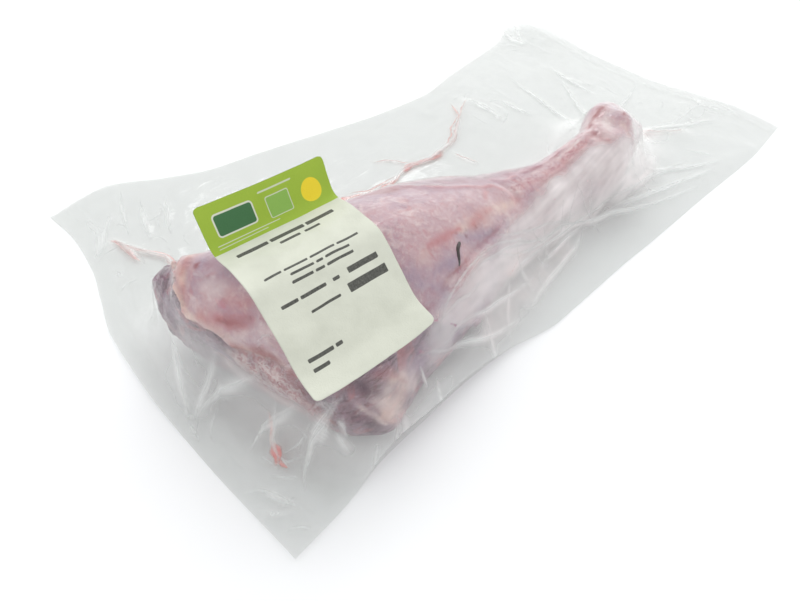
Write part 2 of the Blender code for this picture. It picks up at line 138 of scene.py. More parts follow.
# Marks on the meat: (kind, points, half width, strength)
MARKS = [
    ("rosy", [(-134, -38, 65), (-107, -34, 58), (-89, -48, 58), (-61, -57, 50), (-31, -58, 42)], 1.8, 1.0),
    ("blood", [(-98, -33, 55), (-94, -36, 56), (-88, -39, 54)], 2.2, 0.9),
    ("rosy", [(-35, -64, 41), (-20, -65, 39), (-1, -65, 38), (14, -64, 39), (25, -64, 41), (38, -62, 42)],
     3.2, 0.7),
    ("blood", [(-23, -57, 41), (-8, -58, 39), (9, -58, 39), (21, -57, 41), (38, -53, 41)], 1.2, 0.8),
    ("blood", [(-33, -69, 39), (-14, -68, 38), (6, -67, 38), (20, -67, 40), (36, -66, 43)], 1.3, 0.6),
    ("pale", [(-20, -60, 40), (2, -60, 39), (20, -60, 40), (34, -58, 43)], 1.2, 1.0),
    ("pale", [(-24, -66, 39), (-4, -66, 38), (16, -66, 40), (30, -65, 42)], 1.0, 0.9),
    ("pale", [(-60, -52, 50), (-30, -54, 43), (-4, -53, 38)], 1.5, 0.5),
    ("rosy", [(-202, -18, 56), (-203, -24, 53), (-205, -29, 48)], 4.0, 0.7),
    ("rosy", [(-200, -21, 57), (-196, -19, 60)], 4.5, 0.9),
    ("blood", [(-196, -26, 61), (-194, -26, 62)], 1.9, 1.0),
    ("blood", [(-192, -30, 63), (-189, -33, 64)], 2.4, 0.5),
    ("lilac", [(-193, -27, 63), (-184, -30, 66), (-176, -33, 68)], 8.0, 0.95),
    ("lilac", [(-191, -38, 65), (-184, -48, 69)], 5.5, 0.6),
    ("pale", [(-198, -36, 58), (-195, -42, 61)], 6.0, 0.9),
    ("rosy", [(-197, -45, 57), (-194, -50, 59), (-191, -55, 62)], 4.6, 0.75),
    ("rosy", [(-203, -38, 48), (-200, -45, 49), (-197, -52, 51), (-193, -57, 56)], 4.4, 1.1),
    ("blood", [(-200, -46, 49), (-195, -55, 54), (-192, -59, 57)], 2.2, 0.85),
    # Painted highlight: the pale streak below, rising across the cut end, is a highlight painted into the
    # meat's colour
    ("pale", [(-200, -49, 41), (-197, -55, 48), (-194, -59, 54)], 2.8, 1.1),
    ("pale", [(-194, -62, 50), (-191, -66, 54)], 6.0, 0.6),
    ("blood", [(-191, -66, 55), (-192, -68, 51), (-193, -69, 47)], 1.0, 0.8),
    ("dark", [(-199, -55, 38), (-196, -58, 37), (-195, -65, 43), (-193, -71, 44), (-191, -77, 41)], 1.8, 0.9),
    ("blood", [(-199, -54, 39), (-196, -57, 38), (-195, -65, 44), (-193, -71, 45), (-192, -76, 44),
               (-190, -80, 40)], 3.0, 1.2),
    ("blood", [(-193, -77, 38), (-191, -82, 32)], 4.0, 0.9),
    ("pale", [(-198, -60, 34), (-196, -65, 34), (-195, -71, 34), (-193, -77, 32)], 1.8, 1.0),
    ("blood", [(-199, -59, 30), (-197, -65, 30), (-195, -72, 30), (-193, -79, 27)], 1.4, 1.0),
    ("pale", [(-200, -57, 27), (-198, -63, 26), (-196, -70, 26), (-194, -76, 24)], 1.8, 1.0),
    ("blood", [(-200, -58, 22), (-198, -64, 21), (-196, -71, 20), (-194, -77, 18)], 1.6, 0.9),
    ("pale", [(-199, -62, 16), (-196, -72, 15), (-194, -78, 13)], 2.4, 0.8),
    ("rosy", [(-192, -82, 27), (-190, -86, 24), (-188, -92, 20)], 4.5, 0.7),
    ("dark", [(-191, -82, 30), (-189, -87, 28), (-187, -92, 26)], 1.8, 0.8),
    ("pale", [(-190, -85, 27), (-188, -89, 26), (-187, -93, 24)], 1.2, 0.8),
    ("dark", [(-187, -88, 34), (-186, -93, 31), (-185, -95, 29)], 2.2, 0.9),
    ("blood", [(-188, -95, 21), (-186, -97, 22)], 2.2, 1.1),
    ("rosy", [(-188, -94, 12), (-186, -98, 12), (-184, -103, 13)], 2.6, 0.8),
    ("pale", [(-203, -48, 33), (-201, -54, 29), (-199, -58, 26)], 3.0, 0.8),
    ("lilac", [(-209, -14, 40), (-209, -18, 36), (-208, -24, 34)], 5.0, 0.7),
    ("dark", [(-210, -18, 30), (-209, -24, 28), (-207, -33, 24), (-204, -45, 21)], 4.0, 0.8),
    ("lilac", [(-208, -30, 32), (-206, -40, 31), (-203, -48, 28)], 3.0, 0.6),
    ("blood", [(-181, -95, 41), (-178, -94, 40), (-175, -95, 39)], 2.6, 0.8),
    ("dark", [(-179, -96, 37), (-176, -97, 38)], 3.4, 0.7),
    ("dark", [(-173, -98, 38), (-171, -100, 35), (-169, -103, 32)], 3.8, 1.1),
    ("dark", [(-181, -98, 32), (-181, -100, 28)], 3.0, 0.8),
    ("dark", [(-180, -101, 27), (-178, -105, 24), (-175, -108, 19), (-179, -106, 16)], 4.6, 0.85),
    ("pale", [(-181, -95, 36), (-179, -98, 33), (-177, -102, 30), (-174, -106, 26), (-171, -110, 19)],
     1.3, 0.9),
    ("fat", [(-170, -108, 24), (-166, -110, 21), (-163, -109, 24), (-166, -107, 27)], 5.0, 0.75),
    ("fat", [(-160, -108, 24), (-157, -105, 30)], 5.0, 0.6),
    ("rosy", [(-166, -99, 38), (-162, -100, 37), (-158, -101, 34)], 3.0, 0.7),
    ("fat", [(-163, -102, 33), (-158, -103, 32)], 3.2, 0.8),
    ("dark", [(-167, -103, 32), (-164, -106, 29), (-161, -107, 26)], 0.9, 0.8),
    ("blood", [(-161, -101, 35), (-157, -103, 31), (-155, -105, 27)], 1.0, 0.6),
    ("lilac", [(-149, -104, 30), (-140, -103, 31), (-133, -101, 31), (-126, -99, 33)], 8.0, 1.1),
    ("lilac", [(-126, -99, 24), (-100, -96, 24), (-70, -91, 20), (-40, -85, 18)], 12.0, 0.95),
    ("rosy", [(-80, -92, 18), (-66, -90, 20), (-58, -87, 24)], 5.0, 0.8),
    ("fat", [(-141, -83, 57), (-137, -83, 57)], 3.5, 0.8),
    ("blood", [(-137, -78, 61), (-135, -77, 61)], 1.3, 1.2),
    ("fat", [(-124, -79, 59), (-120, -78, 59)], 3.0, 0.6),
    ("lilac", [(-134, -80, 59), (-127, -87, 51), (-122, -92, 43)], 8.0, 1.1),
    ("lilac", [(-120, -84, 53), (-108, -84, 50)], 6.5, 1.05),
    ("lilac", [(-98, -77, 53), (-89, -80, 49), (-76, -79, 43)], 5.0, 0.95),
    ("rosy", [(-118, -77, 59), (-106, -76, 57), (-96, -75, 54)], 2.4, 1.2),
    ("fat", [(-96, -75, 54), (-80, -73, 50), (-64, -71, 46), (-48, -70, 41)], 4.5, 0.85),
    ("rosy", [(-88, -75, 52), (-78, -72, 50), (-68, -71, 48)], 4.0, 1.1),
    ("blood", [(-94, -78, 51), (-93, -77, 51)], 1.0, 1.1),
    ("blood", [(-100, -76, 55), (-99, -76, 55)], 0.8, 0.9),
    ("blood", [(-86, -76, 50), (-84, -75, 50)], 0.9, 0.9),
    ("rosy", [(-47, -68, 42), (-43, -70, 40)], 3.0, 1.0),
    ("rosy", [(-60, -57, 49), (-52, -59, 47), (-46, -64, 44), (-45, -70, 41)], 1.4, 1.0),
    ("rosy", [(-68, -66, 50), (-64, -63, 50), (-60, -60, 50)], 1.6, 0.9),
    ("rosy", [(-38, -57, 44), (-33, -62, 43), (-33, -68, 41)], 1.4, 0.9),
    ("blood", [(-62, -76, 41), (-73, -79, 42), (-91, -82, 45), (-115, -88, 48), (-124, -92, 45),
               (-135, -93, 44)], 1.1, 0.9),
    ("blood", [(43, -54, 41), (54, -50, 41), (63, -49, 43), (81, -48, 39), (79, -55, 40), (66, -65, 44)],
     2.0, 1.5),
    ("lilac", [(60, -56, 43), (66, -58, 44), (72, -56, 43)], 4.0, 0.6),
    ("blood", [(36, -57, 42), (39, -63, 42), (38, -69, 42), (43, -74, 41)], 2.0, 1.0),
    ("dark", [(38, -48, 38), (44, -47, 40)], 2.4, 0.6),
    ("pale", [(57, -58, 42), (50, -63, 43)], 6.0, 1.2),
    ("fat", [(60, -68, 42), (58, -74, 39)], 3.6, 0.7),
    ("rosy", [(60, -72, 40), (59, -78, 35)], 2.0, 0.7),
    ("fat", [(91, -67, 26), (100, -62, 18)], 4.0, 0.6),
    ("pale", [(-20, -70, 37), (20, -78, 33), (60, -80, 26)], 7.0, 0.8),
    ("pale", [(20, -66, 39), (31, -67, 40), (42, -66, 41), (56, -66, 41)], 6.0, 0.8),
    ("pale", [(60, -54, 43), (64, -57, 44), (68, -60, 44)], 4.5, 0.9),
    ("pale", [(-165, -104, 31), (-160, -103, 31), (-154, -104, 29), (-150, -106, 22)], 6.0, 0.9),
    ("pale", [(-170, -105, 29), (-165, -108, 25), (-166, -109, 20)], 6.0, 0.9),
    ("pale", [(-204, -47, 22), (-202, -51, 18), (-200, -54, 12)], 5.0, 1.1),
    ("rosy", [(-118, -38, 62), (-110, -37, 60), (-102, -39, 60)], 2.6, 1.0),
    ("blood", [(-114, -38, 61), (-108, -36, 60), (-102, -39, 60)], 1.4, 0.9),
    ("strands", [(-201, -56, 30), (-198, -63, 30), (-196, -70, 30), (-194, -78, 26)], 12.0, 1.0),
    ("strands", [(-197, -66, 18), (-195, -74, 18), (-192, -84, 18)], 9.0, 0.9),
    ("strands", [(-190, -84, 24), (-187, -92, 20)], 6.0, 0.8),
    ("strands", [(-186, -96, 26), (-180, -101, 28), (-172, -104, 32), (-166, -100, 36)], 6.0, 0.22),
    ("strands", [(-40, -62, 43), (-10, -62, 39), (20, -61, 40), (36, -58, 43)], 8.0, 0.62),
    ("strands", [(43, -56, 41), (55, -52, 41), (66, -50, 43)], 6.0, 0.5),
    ("blood", [(-200, -53, 40), (-197, -58, 41), (-195, -65, 43), (-193, -72, 43), (-191, -79, 40)],
     3.4, 1.3),
    ("dark", [(-198, -57, 40), (-195, -65, 42), (-193, -72, 42)], 1.6, 0.9),
    ("strands", [(-122, -92, 42), (-100, -87, 44), (-80, -82, 42)], 4.0, 0.5),
    # Painted shade: the lilac and dark lines along the thigh's far rim darken it to hold back the lamp's
    # reflection on the film there
    ("lilac", [(-128, -37, 64), (-112, -39, 62), (-93, -45, 59), (-74, -49, 53), (-54, -52, 47),
               (-33, -55, 42), (-8, -56, 39)], 7.0, 1.15),
    ("dark", [(-128, -32, 63), (-112, -34, 61), (-93, -40, 58), (-74, -44, 52), (-54, -48, 46),
              (-33, -51, 41), (-12, -52, 38)], 5.0, 0.5),
    ("rosy", [(-124, -38, 63), (-112, -39, 62), (-93, -45, 59), (-74, -49, 53), (-54, -52, 47),
              (-33, -55, 42), (-8, -56, 39)], 6.0, 0.55),
    ("blood", [(-116, -38, 62), (-111, -39, 62), (-104, -41, 61)], 3.4, 2.2),
    ("blood", [(-104, -41, 61), (-90, -45, 58), (-78, -48, 54)], 1.6, 1.1),
]

# Lumps and hollows of the meat: (place, reach, rise)
LUMPS = [((70, -64, 41), 7.0, 2.0), ((81, -67, 33), 7.0, 1.8), ((91, -68, 26), 6.0, 1.4),
         ((88, -42, 28), 8.0, 1.6), ((54, -62, 45), 8.0, -2.6), ((102, -52, 18), 6.0, -1.5),
         ((66, -43, 44), 8.0, 1.6),
         ((-60, -69, 47), 11.0, -1.4), ((-94, -79, 50), 9.0, -1.2), ((-196, -60, 40), 9.0, -1.5),
         ((-168, -104, 24), 12.0, 1.4), ((-200, -40, 47), 12.0, 1.2), ((-186, -70, 58), 12.0, 1.0)]
# Grooves of the meat: (points, half width, rise)
GROOVES = [([(-74, -79, 43), (-92, -83, 46), (-114, -88, 47), (-126, -91, 46), (-137, -93, 46)], 2.2, -1.3),
           ([(-137, -99, 36), (-110, -96, 34), (-77, -89, 30), (-40, -82, 20)], 2.5, -1.2),
           ([(-48, -56, 46), (-44, -63, 44), (-43, -68, 42), (-45, -72, 40)], 2.0, -0.9),
           ([(43, -53, 41), (38, -65, 43), (43, -71, 42)], 2.2, -1.0),
           ([(-198, -55, 38), (-196, -63, 40), (-194, -70, 43), (-192, -76, 43)], 2.2, -1.2),
           ([(-134, -38, 65), (-107, -34, 58), (-89, -48, 58), (-61, -57, 50), (-31, -58, 42)], 1.8, 0.7)]

# Film: how it bridges from the meat to the sheet, in the same steps as the part but on a finer map
CELL = 1.25
DRAPE_PASSES = 280
DRAPE_PULL = 0.009
FIN_HEIGHT = 7.0
FIN_REACH = 20.0
CLEAR = 0.25
STEEP = 2.5
STEEP_FILM = 0.7
SHEETS_APART = 0.9
HELD_FLAT = 0.75
LOWEST_FILM = 0.15
FILMS_APART = 0.15
FILM_EASING = 3
EASE_SHARE = 0.6
TOUCHES_MEAT = (0.3, 2.5)
HELD_BY_EDGE = (0.0, 6.0)
CRUMPLE_HELD = 0.9
TAUT_ON_MEAT = 0.62
FILM_SWAY = (55, 83, 0.35)
MOST_HAZE = 0.9
# Span of y + 0.3 x over which the lower film's painted shade fades out towards the far side
PAINTED_SHADE_SPAN = (-130, 0)
CORNER_CURL = [(217, 114, 6.0, 40.0), (-226, -122, 2.5, 30.0)]
PLEAT_HALF_WIDTH = 4.5
PLEATS = [([(-83, 25), (-50, 22), (-23, 25), (-3, 23), (29, 36), (58, 53)], 1.3),
          ([(-207, 77), (-201, 57), (-192, 42), (-182, 20)], 1.5),
          ([(100, -57), (130, -59), (158, -80)], 1.2),
          ([(-188, -84), (-203, -88), (-210, -97)], 1.1),
          ([(-68, -107), (14, -92), (126, -112), (180, -118)], 1.0)]
FILM_COLUMNS = [(-213, 12), (-180, 36), (60, 200), (108, 48), (225, 92)]
FILM_ROWS = (46, 108, 70)
UNDER_COLUMNS = [(-213, 6), (-180, 18), (60, 90), (108, 20), (225, 44)]
UNDER_ROWS = (22, 44, 34)
LEG_ROWS_HELD = (-196, 92)
LEG_MARGIN = 1.5
NARROWEST_MARGIN = 4.0
FAR_ROWS_SPREAD = 1.15
MAP_MARGIN = 12
MAP_MARGIN_FAR = 16

# Sharp creases in the upper film: (points, height, half width)
CREASES = [
    ([(-84, 24), (-56, 17), (-33, 23), (-12, 20), (15, 25), (31, 36), (63, 56)], 1.2, 1.7),
    ([(-45, 42), (-38, 40), (-25, 25)], 0.6, 1.3),
    ([(6, 15), (10, -3)], 0.6, 1.3),
    ([(-206, 82), (-203, 73), (-201, 56)], 0.9, 1.5),
    ([(-206, 79), (-194, 58), (-189, 49), (-190, 20)], 1.3, 1.7),
    ([(-206, 99), (-212, 82), (-221, 65)], 0.6, 1.2),
    ([(-190, 110), (-207, 88), (-221, 63)], 0.7, 1.3),
    ([(-177, 103), (-188, 67)], 0.8, 2.0),
    ([(-164, 98), (-178, 64)], 0.6, 2.0),
    ([(-183, 118), (-196, 79)], 0.5, 1.5),
    ([(-213, -15), (-218, -25), (-221, -31), (-226, -43)], 1.5, 2.0),
    ([(-199, -66), (-206, -57), (-212, -50), (-219, -47), (-226, -48)], 1.5, 1.9),
    ([(-206, -47), (-212, -44), (-218, -44), (-226, -48)], 1.2, 1.7),
    ([(-227, -47), (-221, -32)], 0.8, 1.3),
    ([(-227, -46), (-228, -57)], 0.6, 1.3),
    ([(-226, -89), (-221, -92), (-213, -108)], 0.9, 2.2),
    ([(-228, -95), (-222, -103), (-214, -109)], 0.8, 2.0),
    ([(-198, -73), (-207, -79), (-209, -85), (-212, -90)], 1.0, 1.5),
    ([(-209, -85), (-208, -92)], 0.6, 1.2),
    ([(-193, -84), (-207, -73), (-217, -75)], 0.9, 1.7),
    ([(-180, -97), (-189, -95), (-196, -93), (-204, -98), (-208, -104)], 1.0, 1.6),
    ([(-188, -96), (-194, -96)], 0.8, 1.5),
    ([(-188, -99), (-187, -108)], 0.8, 1.5),
    ([(-147, -100), (-133, -102), (-93, -107), (-71, -109)], 1.0, 1.5),
    ([(-71, -109), (-51, -104), (-12, -96), (4, -90)], 1.0, 1.6),
    ([(-100, -87), (-66, -87), (-21, -85), (4, -90), (36, -99), (107, -116)], 1.1, 1.6),
    ([(-75, -81), (-32, -81), (4, -90)], 0.8, 1.5),
    ([(15, -93), (68, -99), (133, -114)], 0.9, 1.6),
    ([(-131, -99), (-119, -93), (-101, -87), (-78, -84)], 0.8, 1.4),
    ([(-146, -102), (-145, -109)], 0.8, 1.5),
    ([(133, -58), (163, -76)], 0.8, 1.3),
    ([(140, -91), (147, -105)], 0.6, 1.3),
    ([(104, -58), (145, -60), (194, -85)], 1.1, 1.8),
    ([(65, 54), (68, 36), (65, 19)], 0.9, 2.0),
    ([(84, 40), (85, 26), (86, 11)], 0.8, 1.8),
    ([(158, 46), (152, 1)], 0.8, 2.0),
    ([(176, 117), (172, 100), (176, 82)], 1.4, 2.4),
    ([(190, 112), (180, 98), (170, 92)], 1.2, 2.2),
    ([(78, -82), (110, -96), (145, -112)], 1.0, 1.8),
    ([(-183, -95), (-185, -95), (-190, -93), (-194, -92), (-199, -94)], 1.2, 1.6),
    ([(-186, -98), (-185, -101), (-186, -104)], 0.9, 1.5),
    ([(-111, -92), (-94, -88), (-75, -86), (-54, -84), (-29, -83)], 0.9, 1.4),
    ([(-99, -86), (-82, -84), (-59, -83), (-34, -84), (-16, -85), (0, -85)], 0.8, 1.4),
    ([(-138, -103), (-110, -99), (-84, -98), (-47, -97)], 1.0, 1.3),
    ([(-47, -97), (-38, -93), (-12, -90), (6, -91)], 1.1, 1.4),
    ([(-63, -91), (-30, -87), (-4, -88), (11, -89), (30, -91)], 1.1, 1.4),
    ([(-128, -97), (-117, -95), (-109, -94), (-98, -92)], 0.7, 0.9),
    ([(11, -89), (40, -92), (87, -90), (129, -97)], 0.9, 1.5),
    ([(104, -46), (150, -28), (196, -16)], 1.0, 1.9),
    ([(100, -40), (130, 0), (150, 30)], 0.9, 1.9),
    ([(96, -36), (110, 20), (118, 60)], 0.7, 1.8),
]
# Section of a crease: a sharp ridge in a soft hollow, and how far its line wanders
RIDGE_WIDTH, RIDGE_POWER, RIDGE_RISE = 1.25, 1.6, 0.8
HOLLOW_WIDTH, HOLLOW_DIP = 2.8, 0.3
LINE_POWER = 2.7
CREASE_WANDER = 1.5
CREASE_WANDER_SIZE = 26

# Small chance pleats round the drumstick: how many, and the ranges of their places and sizes
PLEAT_COUNT = 30
PLEAT_SEED = 23
PLEATS_FROM, PLEATS_TO = -205, 100
PLEATS_ON_FAR = 0.45
PLEAT_STARTS = (-6, 2)
PLEAT_REACHES = (8, 30)
PLEAT_HEIGHTS = (0.25, 0.7)
PLEAT_WIDTHS = (1.0, 1.7)
PLEAT_LEAN = 0.55
PLEAT_BEND = 0.25
# Past these two places along the bag the pleats fan out towards its ends
FAN_FROM, FAN_TO = -170, 20
FAN_LEAN = 0.9

# Places where the film crumples: (x, y, reach, strength)
CRUMPLE_ZONES = [(-222, -44, 18, 0.4), (-212, -98, 20, 0.6), (178, 96, 34, 1.0), (70, 42, 30, 0.7),
                 (150, 10, 40, 0.6), (-180, 90, 34, 0.5), (-196, -84, 18, 1.0), (-60, -104, 30, 0.5),
                 (110, -60, 26, 0.8), (196, -60, 30, 0.5), (-200, 60, 26, 0.5)]

LEAST_CRUMPLE = 0.16
CRUMPLE_SIZE = 17
CRUMPLE_HEIGHT = 1.5
CRUMPLE_WARP = 5
CRUMPLE_WARP_SIZE = 22

# Stretch of fine lines along the bag: (x, y, reach along, reach across), and how its lines lie
FINE_LINES_ZONE = (60, 44, 120, 46)
FINE_LINE_SIZE = 3.4
FINE_LINE_HEIGHT = 0.22
ALONG_BAG = np.array([[0.05, -0.10, 0], [0.06, 1.0, 0], [0, 0, 1.0]])

# Thin folds of film that stand up along the creases, and their section as (across, up)
FOLD_SEED = 41
FOLDS_PER_ZONE = 10
FOLD_MARGIN = 2.5
FOLD_HALF_WIDTH = 0.9
FOLD_HEIGHT = 0.8
FOLD_LIFT = 0.06
FOLD_SECTION = [(-1.0, 0.0), (-0.6, 0.25), (-0.25, 0.75), (0.0, 1.0), (0.25, 0.75), (0.6, 0.25), (1.0, 0.0)]
FOLD_KNOTS = 7
FOLD_STEP = 1.0
FOLD_UNEVENNESS = (0.45, 1.1)
FOLD_LEAN = 0.35
SHORT_FOLD_HALVES = (2.5, 8.0)
SHORT_FOLD_SIZES = (0.3, 0.75)
SHORT_FOLD_BEND = 0.5

# Heat seals along the two short ends: how far in, how wide, and the step between their ribs
SEAL_AT = 12.0
SEAL_WIDTH = 7.0
SEAL_RIBS = 2.2
SEAL_RIB_HEIGHT = 0.12

# Milky veil where the film hangs clear of the leg's near flank: its upper edge, lower edge and strength by x
VEIL_TOP = [(-142, -98), (-135, -95), (-115, -91), (-91, -85), (-73, -82), (-62, -79), (-35, -72), (-10, -70),
            (26, -67), (44, -74), (60, -74), (72, -66), (82, -52), (92, -36), (102, -22)]
VEIL_FOOT = [(-142, -104), (-107, -99), (-84, -96), (-60, -91), (-30, -88), (-4, -89), (11, -90), (37, -91),
             (60, -91), (114, -80), (150, -60)]
VEIL_GRAIN = np.array([[0.035, -0.03, 0.0], [0.02, 0.30, 0.0], [0.0, 0.0, 1.0]])
VEIL_TOP_SOFTNESS = (-4, 6)
VEIL_FOOT_SOFTNESS = (-2, 7)
VEIL_STRENGTH = [(-150, 0.0), (-138, 0.40), (-110, 0.54), (-60, 0.64), (20, 0.70), (60, 0.68), (95, 0.58),
                 (115, 0.3), (150, 0.05)]

# Haze of the upper film: its share near and its gain across the bag, and what each form adds to it. The gain
# across the bag is painted light, which brightens the film towards the far side.
HAZE_NEAR = 0.45
HAZE_GAIN_PAINTED_LIGHT = 1.5
HAZE_ACROSS = (-110, 60)
CRUMPLE_HAZE = 0.03
# Crease haze: partly stress whitening of the film, partly a painted highlight along the crease lines
CREASE_HAZE_WHITENING_AND_HIGHLIGHT = 0.40
SEAL_HAZE = 0.10
CLOUD_HAZE = 0.05
MILK_HAZE = 0.34
# Painted light: haze beside the leg's near flank, which lightens the leg's shadow on the film
BESIDE_HAZE_PAINTED_LIGHT = 0.27
BESIDE_REACH = 34.0
BESIDE_SOFTNESS = (-4, 6)
BESIDE_ENDS = (-45, -5)
CLEARED_BY_MEAT = 0.85
VEIL_MILK = 0.5

# Milky stretches of film with meat juice behind them: (points, reach, strength)
MILK = [([(-200, -62), (-196, -84), (-184, -100)], 7.0, 0.10),
        ([(-164, -108), (-153, -104), (-142, -102)], 7.0, 0.55),
        ([(-100, -104), (-60, -100), (-20, -94)], 8.0, 0.4),
        ([(100, -60), (118, -60), (134, -62)], 8.0, 0.5)]

# Juice caught in creases: (points, half width, redness)
JUICE = [([(-84, 24), (-70, 20), (-56, 17), (-44, 19), (-33, 23)], 2.0, 0.4),
         ([(-80, 27), (-62, 21), (-48, 21), (-40, 20)], 1.0, 0.35),
         ([(-37, 21), (-29, 23), (-20, 22)], 3.4, 1.0),
         ([(-72, 20), (-60, 17), (-50, 18)], 2.8, 1.0),
         ([(-104, 28), (-94, 27), (-84, 25), (-70, 21)], 2.2, 0.6),
         ([(-33, 23), (-22, 22), (-10, 20), (4, 22)], 2.0, 0.8),
         ([(-14, 20), (-6, 20), (1, 21)], 3.0, 1.0),
         ([(-4, 20), (15, 25), (31, 36), (40, 42)], 1.5, 0.4),
         ([(2, 23), (18, 30), (30, 40), (46, 45)], 0.9, 0.3),
         ([(36, 40), (50, 49), (63, 56)], 1.2, 0.3),
         ([(40, 41), (46, 52), (50, 60)], 1.4, 0.25),
         ([(-45, 42), (-38, 40), (-25, 25)], 0.9, 0.3),
         ([(6, 15), (8, 6), (10, -3)], 0.8, 0.4),
         ([(-206, 82), (-203, 73), (-201, 60), (-200, 54)], 2.0, 0.4),
         ([(-206, 79), (-198, 65), (-189, 49), (-189, 34)], 1.6, 0.35),
         ([(-204, 76), (-192, 58), (-186, 46), (-184, 30)], 1.0, 0.3),
         ([(-190, 30), (-191, 16), (-194, 4)], 3.2, 0.5),
         ([(-201, -73), (-207, -79), (-209, -84)], 1.1, 0.5),
         ([(-206, -80), (-209, -86), (-211, -89)], 2.6, 1.0),
         ([(-209, -85), (-208, -93)], 1.2, 0.6),
         ([(118, -58), (133, -58), (148, -67), (163, -76)], 1.1, 0.4),
         ([(-74, -91), (-66, -90), (-58, -89)], 2.6, 0.25),
         ([(-66, -88), (-58, -86), (-48, -86)], 1.8, 0.2)]
JUICE_SECTION = np.linspace(-1, 1, 9)
JUICE_BELOW = 0.1
JUICE_STEP = 0.8
JUICE_SWELL = (0.45, 1.25)
JUICE_GATHERED = (0.5, 1.15)
JUICE_DRIFT = 0.5
JUICE_SEED = 7

# Feather stub on the meat, as its points and its radius at each
STUB = [((-99.6, -78.6, 52.6), 0.5), ((-101, -79.4, 52.6), 1.0), ((-103.0, -80.4, 52.2), 1.05),
        ((-104.2, -81.8, 51.2), 0.8), ((-105.4, -83.8, 49.6), 0.95), ((-106.4, -85.6, 47.9), 0.45)]
STUB_SIDES = 10
STUB_LIFT = 0.2
STUB_ROUNDING = 2

# Label: its profile from the near edge to the curled far end as (y, z), its middle x at both ends
LABEL_WIDTH = 56.0
LABEL_PAPER = 0.22
LABEL_GAP = 0.45
LABEL_PROFILE = [(-100, 47), (-89, 51), (-79, 58.5), (-70, 67), (-62, 72.5), (-48, 71), (-36, 69.5),
                 (-26, 84.4)]
LABEL_MIDDLE_NEAR = -166.0
LABEL_MIDDLE_FAR = -162.0
LABEL_CORNER = 2.0
LABEL_TILT = 3.0
LABEL_CELLS = (112, 180)
LABEL_FEELERS = 29
LABEL_EASING = 60
BUCKLE_STEP = 31.0
BUCKLE_STARTS = (0.1, 0.45)
FLICKED_CORNERS = [(30, 11, 2.6), (-30, 9, 1.0)]
# Its swell over all its length and its rumple short of the far end: lift in mm, and (size, seed, height)
PAPER_LIFT = 0.25
PAPER_SWELL = (17, 101, 0.25)
RUMPLE_LIFT = 0.5
RUMPLE = (9, 109, 0.5)
RUMPLED_FROM = (14, 34)
BAND_DEPTH = 19.5

# Print on the label, in millimetres from its middle line and from its near edge:
# bars and rules as (height, half thickness, spans), plates as in plate_depth, the disc as (u, v, radius)
BARS = [(65.0, 1.0, [(-22, -9), (-8, 7), (8, 21)]), (61.4, 0.7, [(-6, 3), (5, 12)]),
        (47.6, 0.55, [(-21, -14), (-13, -3), (-2, 9), (10, 20)]),
        (44.6, 0.55, [(-12, -2), (-1, 2), (3, 14)]), (41.6, 0.55, [(-13, -4), (-3, 1), (2, 14)]),
        (35.6, 0.7, [(-21, -14), (-13, -2), (1, 4)]), (36.0, 1.2, [(8, 22)]), (29.4, 2.0, [(5, 23)]),
        (28.8, 0.6, [(-12, 1)]), (14.0, 0.7, [(-22, -11), (-10, -7)]), (10.4, 0.7, [(-22, -15)])]
BAND_RULES = [(75.2, 0.28, [(-25, 2)]), (73.6, 0.28, [(-25, -4)]), (87.4, 0.3, [(-3, 12)])]
BADGE = (-14.5, 82.2, 8.4, 4.2, 1.6)
FRAME_MARK = (4.2, 81.0, 5.2, 4.2, 0.8)
DISC = (19.0, 80.6, 4.6)
CLEAR_OF_PRINT = -9.0

# Studio: the way to its brighter side, and the lamp's place, aim and size in metres
BRIGHT_SIDE = (0.66, 0.64, 0.39)
LAMP_PLACE = (0.55, 0.85, 1.25)
LAMP_AIM = (0.0, 0.0, 0.0)
LAMP_SIZE = (0.9, 0.6)

# Camera as solved for the photograph: place in the drawing, bearing, dip and roll in degrees
CAMERA_PLACE = (-237.05, -176.41, 212.65)
CAMERA_YAW = 46.2
CAMERA_DIP = 50.7
CAMERA_ROLL = 4.1
CAMERA_LENS = 23.4
CAMERA_SENSOR = 36.0
CAMERA_CLIP = 0.01


def smooth(pairs, x):
    """A smooth curve through pairs of numbers, which doesn't overshoot them, read at x."""
    knots = np.array([p[0] for p in pairs], float)
    values = np.array([p[1] for p in pairs], float)
    step = np.diff(knots)
    slope = np.diff(values) / step
    tangent = np.zeros(len(knots))
    tangent[0] = slope[0]
    tangent[-1] = slope[-1]
    product = slope[:-1] * slope[1:]
    inner = np.where(product > 0, 2 * product / np.where(product > 0, slope[:-1] + slope[1:], 1), 0)
    tangent[1:-1] = inner
    x = np.clip(x, knots[0], knots[-1])
    i = np.clip(np.searchsorted(knots, x, side="right") - 1, 0, len(step) - 1)
    t = (x - knots[i]) / step[i]
    blend = t * t * (3 - 2 * t)
    rise = (t - 2 * t**2 + t**3) * tangent[i] + (t**3 - t**2) * tangent[i + 1]
    return values[i] * (1 - blend) + values[i + 1] * blend + rise * step[i]


def column(table, index):
    """The table's first column paired with the one at index."""
    return [(row[0], row[index]) for row in table]


def step_between(value, low, high):
    """0 below low, 1 above high, and a smooth turn between them."""
    t = np.clip((value - low) / (high - low), 0, 1)
    return t * t * (3 - 2 * t)


def stretches(start, parts):
    """Positions along stretches of even cells, from start to the end of each in turn."""
    values = [start]
    for end, cells in parts:
        values.extend(np.linspace(values[-1], end, cells + 1)[1:])
    return np.array(values)


def hashed(i, j, k, seed):
    """A fixed number from -1 to 1 for each cell of a lattice."""
    n = ((i * 73856093) ^ (j * 19349663) ^ (k * 83492791) ^ (seed * 40503551)) & 0x7FFFFFFF
    n = ((n ^ (n >> 13)) * 1274126177) & 0x7FFFFFFF
    n = ((n ^ (n >> 15)) * 668265263) & 0x7FFFFFFF
    return (n >> 7 & 0xFFFF) / 32767.5 - 1


